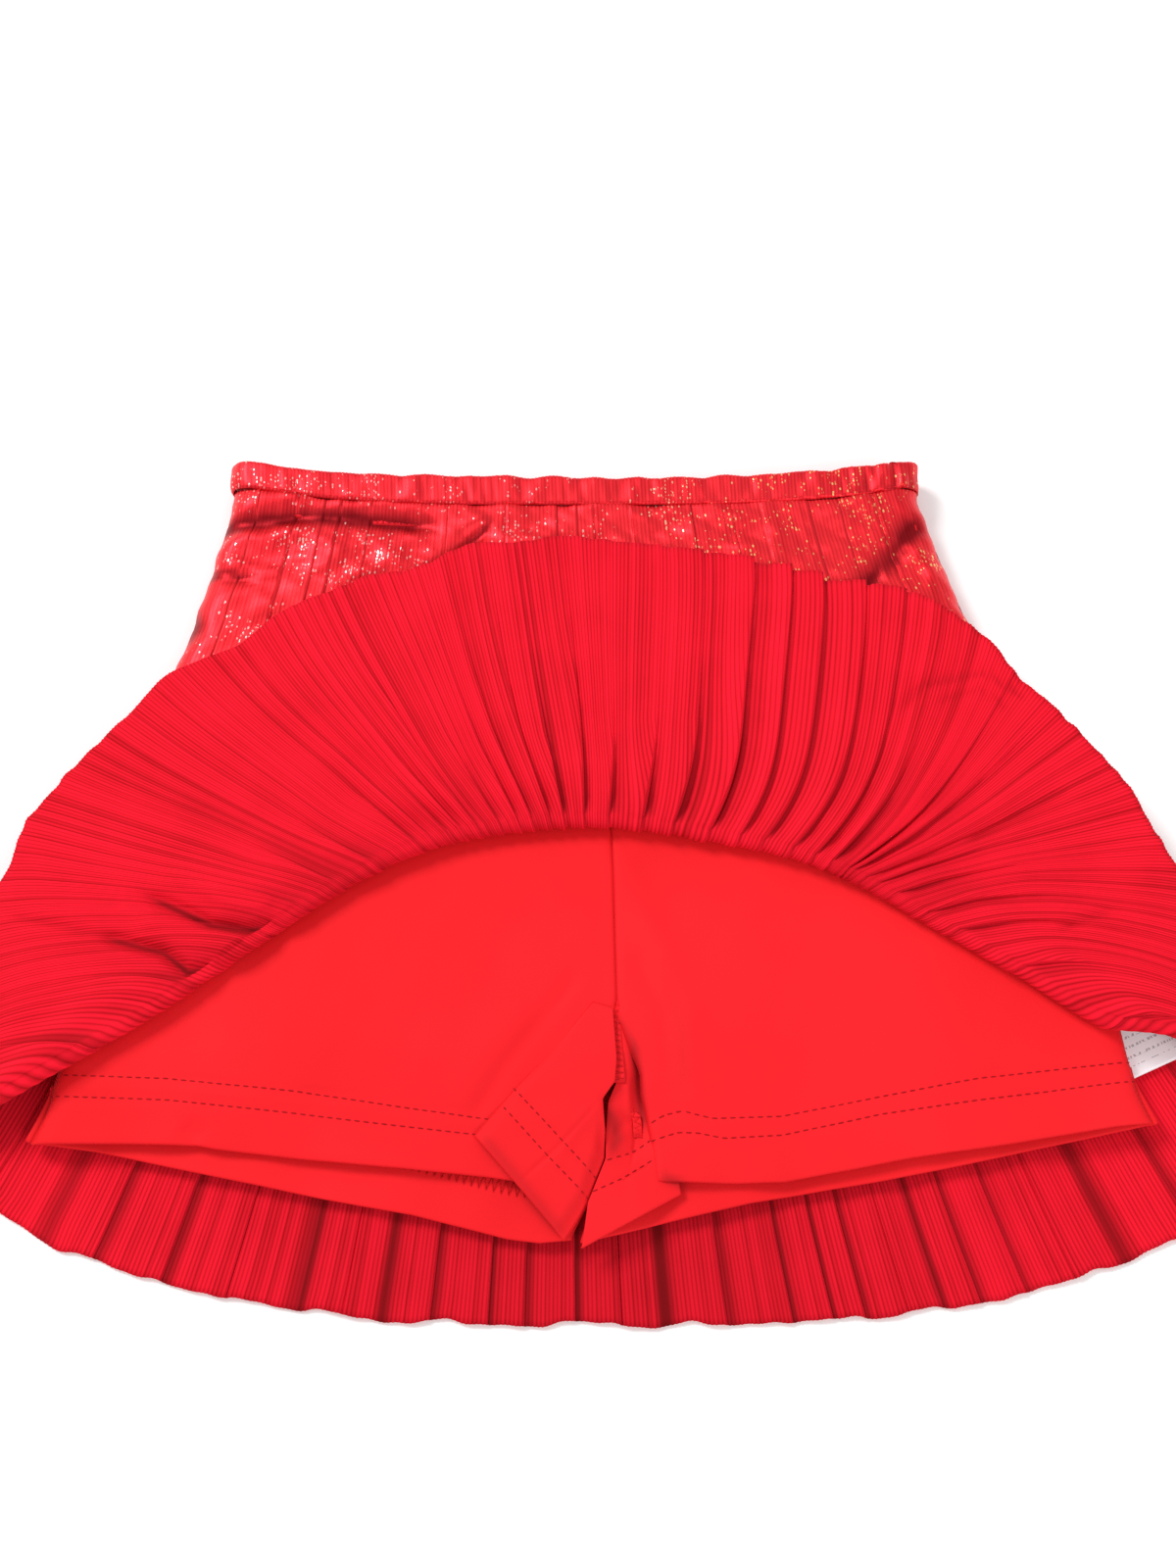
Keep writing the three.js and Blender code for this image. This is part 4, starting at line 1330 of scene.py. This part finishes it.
shorts = {}
threads = {}
for side in ("left", "right"):
    name = "shorts_" + side + "_"
    front = jersey_cloth(name + "leg_front", build_leg_front(side))
    rear = jersey_cloth(name + "leg_back", build_leg_back(side))
    ride_on(front, "jersey", name + "front", name + "front_turn_up")
    ride_on(rear, "jersey", name + "back", name + "back_turn_up")
    shorts[side] = [front, rear]
inner_left = jersey_cloth("shorts_left_inner_fold", build_inner_left(), flip=True)
inner_right = jersey_cloth("shorts_right_inner_tuck", build_inner_right(), flip=True)
ride_on(inner_left, "jersey", "shorts_left_inner_leg")
ride_on(inner_right, "jersey", "shorts_right_inner_leg")
shorts["left"].append(inner_left)
shorts["right"].append(inner_right)


def surface(obj):
    """Finds the height of a piece's upper surface, in millimetres."""
    tree = BVHTree.FromPolygons([v.co for v in obj.data.vertices], [p.vertices for p in obj.data.polygons])

    def height(x, y):
        hit = tree.ray_cast((x * MM, y * MM, 0.1), (0, 0, -1))
        return None if hit[0] is None else hit[0].z / MM

    return height


def lay_on(obj, points, lift, spacing=1.5):
    """A line that lies on a piece's upper surface, a little above it."""
    height = surface(obj)
    run = np.linalg.norm(np.diff(np.asarray(points, float), axis=0), axis=1).sum()
    flat = along_line(points, np.linspace(0, 1, int(run / spacing) + 2))
    found = [(x, y, height(x, y)) for x, y in flat]
    return [(x, y, z + lift) for x, y, z in found if z is not None]


for side in ("left", "right"):
    name = "shorts_" + side + "_"
    front, rear, inner = shorts[side]
    rows = [lay_on(front, row, 0.05) for row in HEM_ROWS[side]]
    hem_thread = ride_on(stitched(name + "hem_thread", rows, THREAD), "thread", name + "hem_stitch_lower",
                         name + "hem_stitch_upper")
    rows = [lay_on(inner, row, 0.05) for row in INNER_ROWS[side]]
    inner_thread = ride_on(stitched(name + "inner_thread", rows, THREAD, pitch=2.8, length=2.1), "thread",
                           name + "inner_stitch_lower", name + "inner_stitch_upper")
    hem = [(x, y + 16.5) for x, y in BACK_HEM[side]]
    hem = along_line(hem, np.linspace(0.03, 0.97, 60))
    looper_thread = ride_on(looped(name + "looper_thread", [lay_on(rear, hem, 0.25)], JERSEY_THREAD,
                                   pitch=2.6, width=5.0),
                            "thread", name + "back_looper_stitch")
    threads[side] = (hem_thread, looper_thread, inner_thread)

from_label, label_uv = build_label("care_label_lower_leaf", LABEL_LONG, 3.6, 5)
leaf_low = plain(cloth("care_label_lower_satin", from_label, 0.22, label_uv), SATIN)
from_label, label_uv = build_label("care_label_upper_leaf", LABEL_LONG - LABEL_STEP, 4.3, 6)
leaf_high = plain(cloth("care_label_upper_satin", from_label, 0.22, label_uv), SATIN)
ride_on(leaf_low, "satin", "care_label_lower_leaf")
ride_on(leaf_high, "satin", "care_label_upper_leaf")


def ribbon(name, path, width, thickness, material, slot, nodes, across=(1, 0), wave=0.3):
    """A seam allowance: a narrow strip along a path of points, with the overlock thread over its edge."""
    path = np.asarray(path, float)
    n = max(int(np.linalg.norm(np.diff(path, axis=0), axis=1).sum() / 2.0), 4)
    mid = along_line(path, np.linspace(0, 1, n))
    offsets = np.linspace(-0.5, 0.5, 7)[None, :] * width
    x = mid[:, :1] + offsets * across[0]
    y = mid[:, 1:2] + offsets * across[1]
    z = mid[:, 2:3] + wave * waves(np.arange(n)[:, None] * 2.0, offsets, 14, 9, len(name))
    grid = together(x, y, z)
    piece = plain(cloth(name, grid, thickness, flip=faces_down(grid)), material)
    ride_on(piece, slot, *nodes)
    edge = [tuple(p) for p in np.stack([mid[:, 0], mid[:, 1], mid[:, 2] + 0.35], -1)]
    thread = looped(name + "_overlock", [edge], JERSEY_THREAD, pitch=2.2, width=width * 0.86, thread=0.3)
    ride_on(thread, "thread")
    return piece, thread


def faces_down(grid):
    across_way = grid[0, 1] - grid[0, 0]
    along_way = grid[1, 0] - grid[0, 0]
    return np.cross(across_way, along_way)[2] < 0


ys = np.linspace(Y_SEAM - 1, -78, 40)
ribbon("shorts_front_seam", [(seam_x(y), y, 12.9) for y in ys], 6.0, 0.5, JERSEY, "jersey",
                        ["shorts_centre_front_seam"])
ribbon("shorts_back_seam", [(seam_x(y), y, 6.0) for y in ys], 6.0, 0.5, JERSEY, "jersey",
                       ["shorts_centre_back_seam"])
for side, sign in (("left", -1), ("right", 1)):
    ys = np.linspace(Y_SEAM - 1, -90, 46)
    path = [(sign * (shorts_side(y) - 5) + shorts_lean(y), y, 9.3) for y in ys]
    ribbon("shorts_" + side + "_side_overlock", path, 3.0, 0.5, JERSEY, "jersey",
                                     ["shorts_" + side + "_side_seam"], wave=0.4)
    ys = np.linspace(Y_SEAM - 1, -76, 46)
    path = [(sign * (side_x(y) - 4.5) + lean(y), y, 6.2) for y in ys]
    ribbon("skirt_" + side + "_side_overlock", path, 4.0, 0.5, MATT, "pleat",
                                    ["skirt_side_seam_" + side], wave=0.4)
    path = [(p[0] + (-2.0 if side == "left" else 1.0), p[1] + 2.0, 9.5) for p in INSEAM[side][:3]]
    ribbon("shorts_" + side + "_inseam_overlock", path, 3.0, 0.5, JERSEY, "jersey",
                                     ["shorts_" + side + "_inseam"], wave=0.2)
xs = np.linspace(-122, 122, 60)
ribbon("waist_front_overlock", [(x + lean(141), 141.5 + sag(x), 14.9) for x in xs],
                              7.6, 0.5,
                              FOIL, "foil", ["waist_seam_front"], across=(0, 1))
ribbon("waist_back_overlock", [(x + lean(141), 141.5 + sag(x), 3.9) for x in xs], 7.6,
                             0.5,
                             FOIL, "foil", ["waist_seam_back"], across=(0, 1))
xs = np.linspace(-121, 121, 160)
front_row = [(x + lean(147.6), 147.3 + sag(x)) for x in xs]
back_row = [(x + lean(147.6), 147.3 + sag(x), 3.75) for x in xs]
for half, row in (("front", lay_on(band, front_row, 0.02)), ("back", back_row)):
    row_thread = stitched("waistband_" + half + "_thread", [row], FOIL_THREAD, pitch=2.6, length=1.9,
                          width=0.45,
                          height=0.3)
    ride_on(row_thread, "thread", "waistband_stitch_" + half)

# ---- The skirt's areas, worked out but not kept ----


def side_y(x):
    """How low the skirt's side edge is, for a distance from the middle."""
    ys = np.linspace(Y_SEAM, Y_CORNER, 400)
    return np.interp(np.abs(x), side_x(ys), ys)


def skirt_area(hem):
    """The area between the waist seam, the side edges and a lower edge."""
    xs = np.linspace(-HEM_HALF, HEM_HALF, 801)
    return float(np.mean(np.maximum(side_y(xs) - hem(xs), 0))) * 2 * HEM_HALF


skirt_area(fold_y)
skirt_area(back_hem_y)
for side in ("left", "right"):
    front, rear, inner = shorts[side]
    hem_thread, looper_thread, inner_thread = threads[side]

# ---- Table, light and camera ----


def build_stage():
    size = 6.0
    mesh = bpy.data.meshes.new("table_top")
    half = size / 2
    mesh.from_pydata([(-half, -half, -0.0005), (half, -half, -0.0005), (half, half, -0.0005),
                      (-half, half, -0.0005)],
                     [], [(0, 1, 2, 3)])
    table = bpy.data.objects.new("table_top", mesh)
    bpy.context.scene.collection.objects.link(table)
    f = Finish("table_white", 0.9)
    f.colour((0.96, 0.96, 0.96, 1))
    mesh.materials.append(f.material)


def light(name, kind, energy, place, aim, size):
    data = bpy.data.lights.new(name, kind)
    data.energy = energy
    data.size = size
    lamp = bpy.data.objects.new(name, data)
    bpy.context.scene.collection.objects.link(lamp)
    lamp.location = place
    direction = np.array(aim) - np.array(place)
    lamp.rotation_euler = Vector(direction).to_track_quat("-Z", "Y").to_euler()


def build_world():
    scene = bpy.context.scene
    world = bpy.data.worlds.new("studio")
    scene.world = world
    world.use_nodes = True
    world.node_tree.nodes["Background"].inputs["Color"].default_value = (1, 1, 1, 1)
    world.node_tree.nodes["Background"].inputs["Strength"].default_value = 0.62
    scene.view_settings.view_transform = "Standard"


def build_camera():
    data = bpy.data.cameras.new("camera")
    data.lens = 50
    data.sensor_width = 36
    camera = bpy.data.objects.new("camera", data)
    bpy.context.scene.collection.objects.link(camera)
    elevation = math.radians(70)
    aim = Vector((-0.0015, 0.0359, 0.0))
    back_off = Vector((0, -math.cos(elevation), math.sin(elevation)))
    camera.location = aim + back_off * 0.8
    camera.rotation_mode = "QUATERNION"
    camera.rotation_quaternion = (-back_off).to_track_quat("-Z", "Y")
    data.clip_start = 0.01
    data.clip_end = 20
    bpy.context.scene.camera = camera


build_stage()
light("key_softbox", "AREA", 42.0, (-1.35, 1.05, 1.75), (0, 0, 0), 0.8)
light("fill_softbox", "AREA", 15.0, (0.95, -1.15, 1.45), (0, 0, 0), 1.0)
build_world()
build_camera()
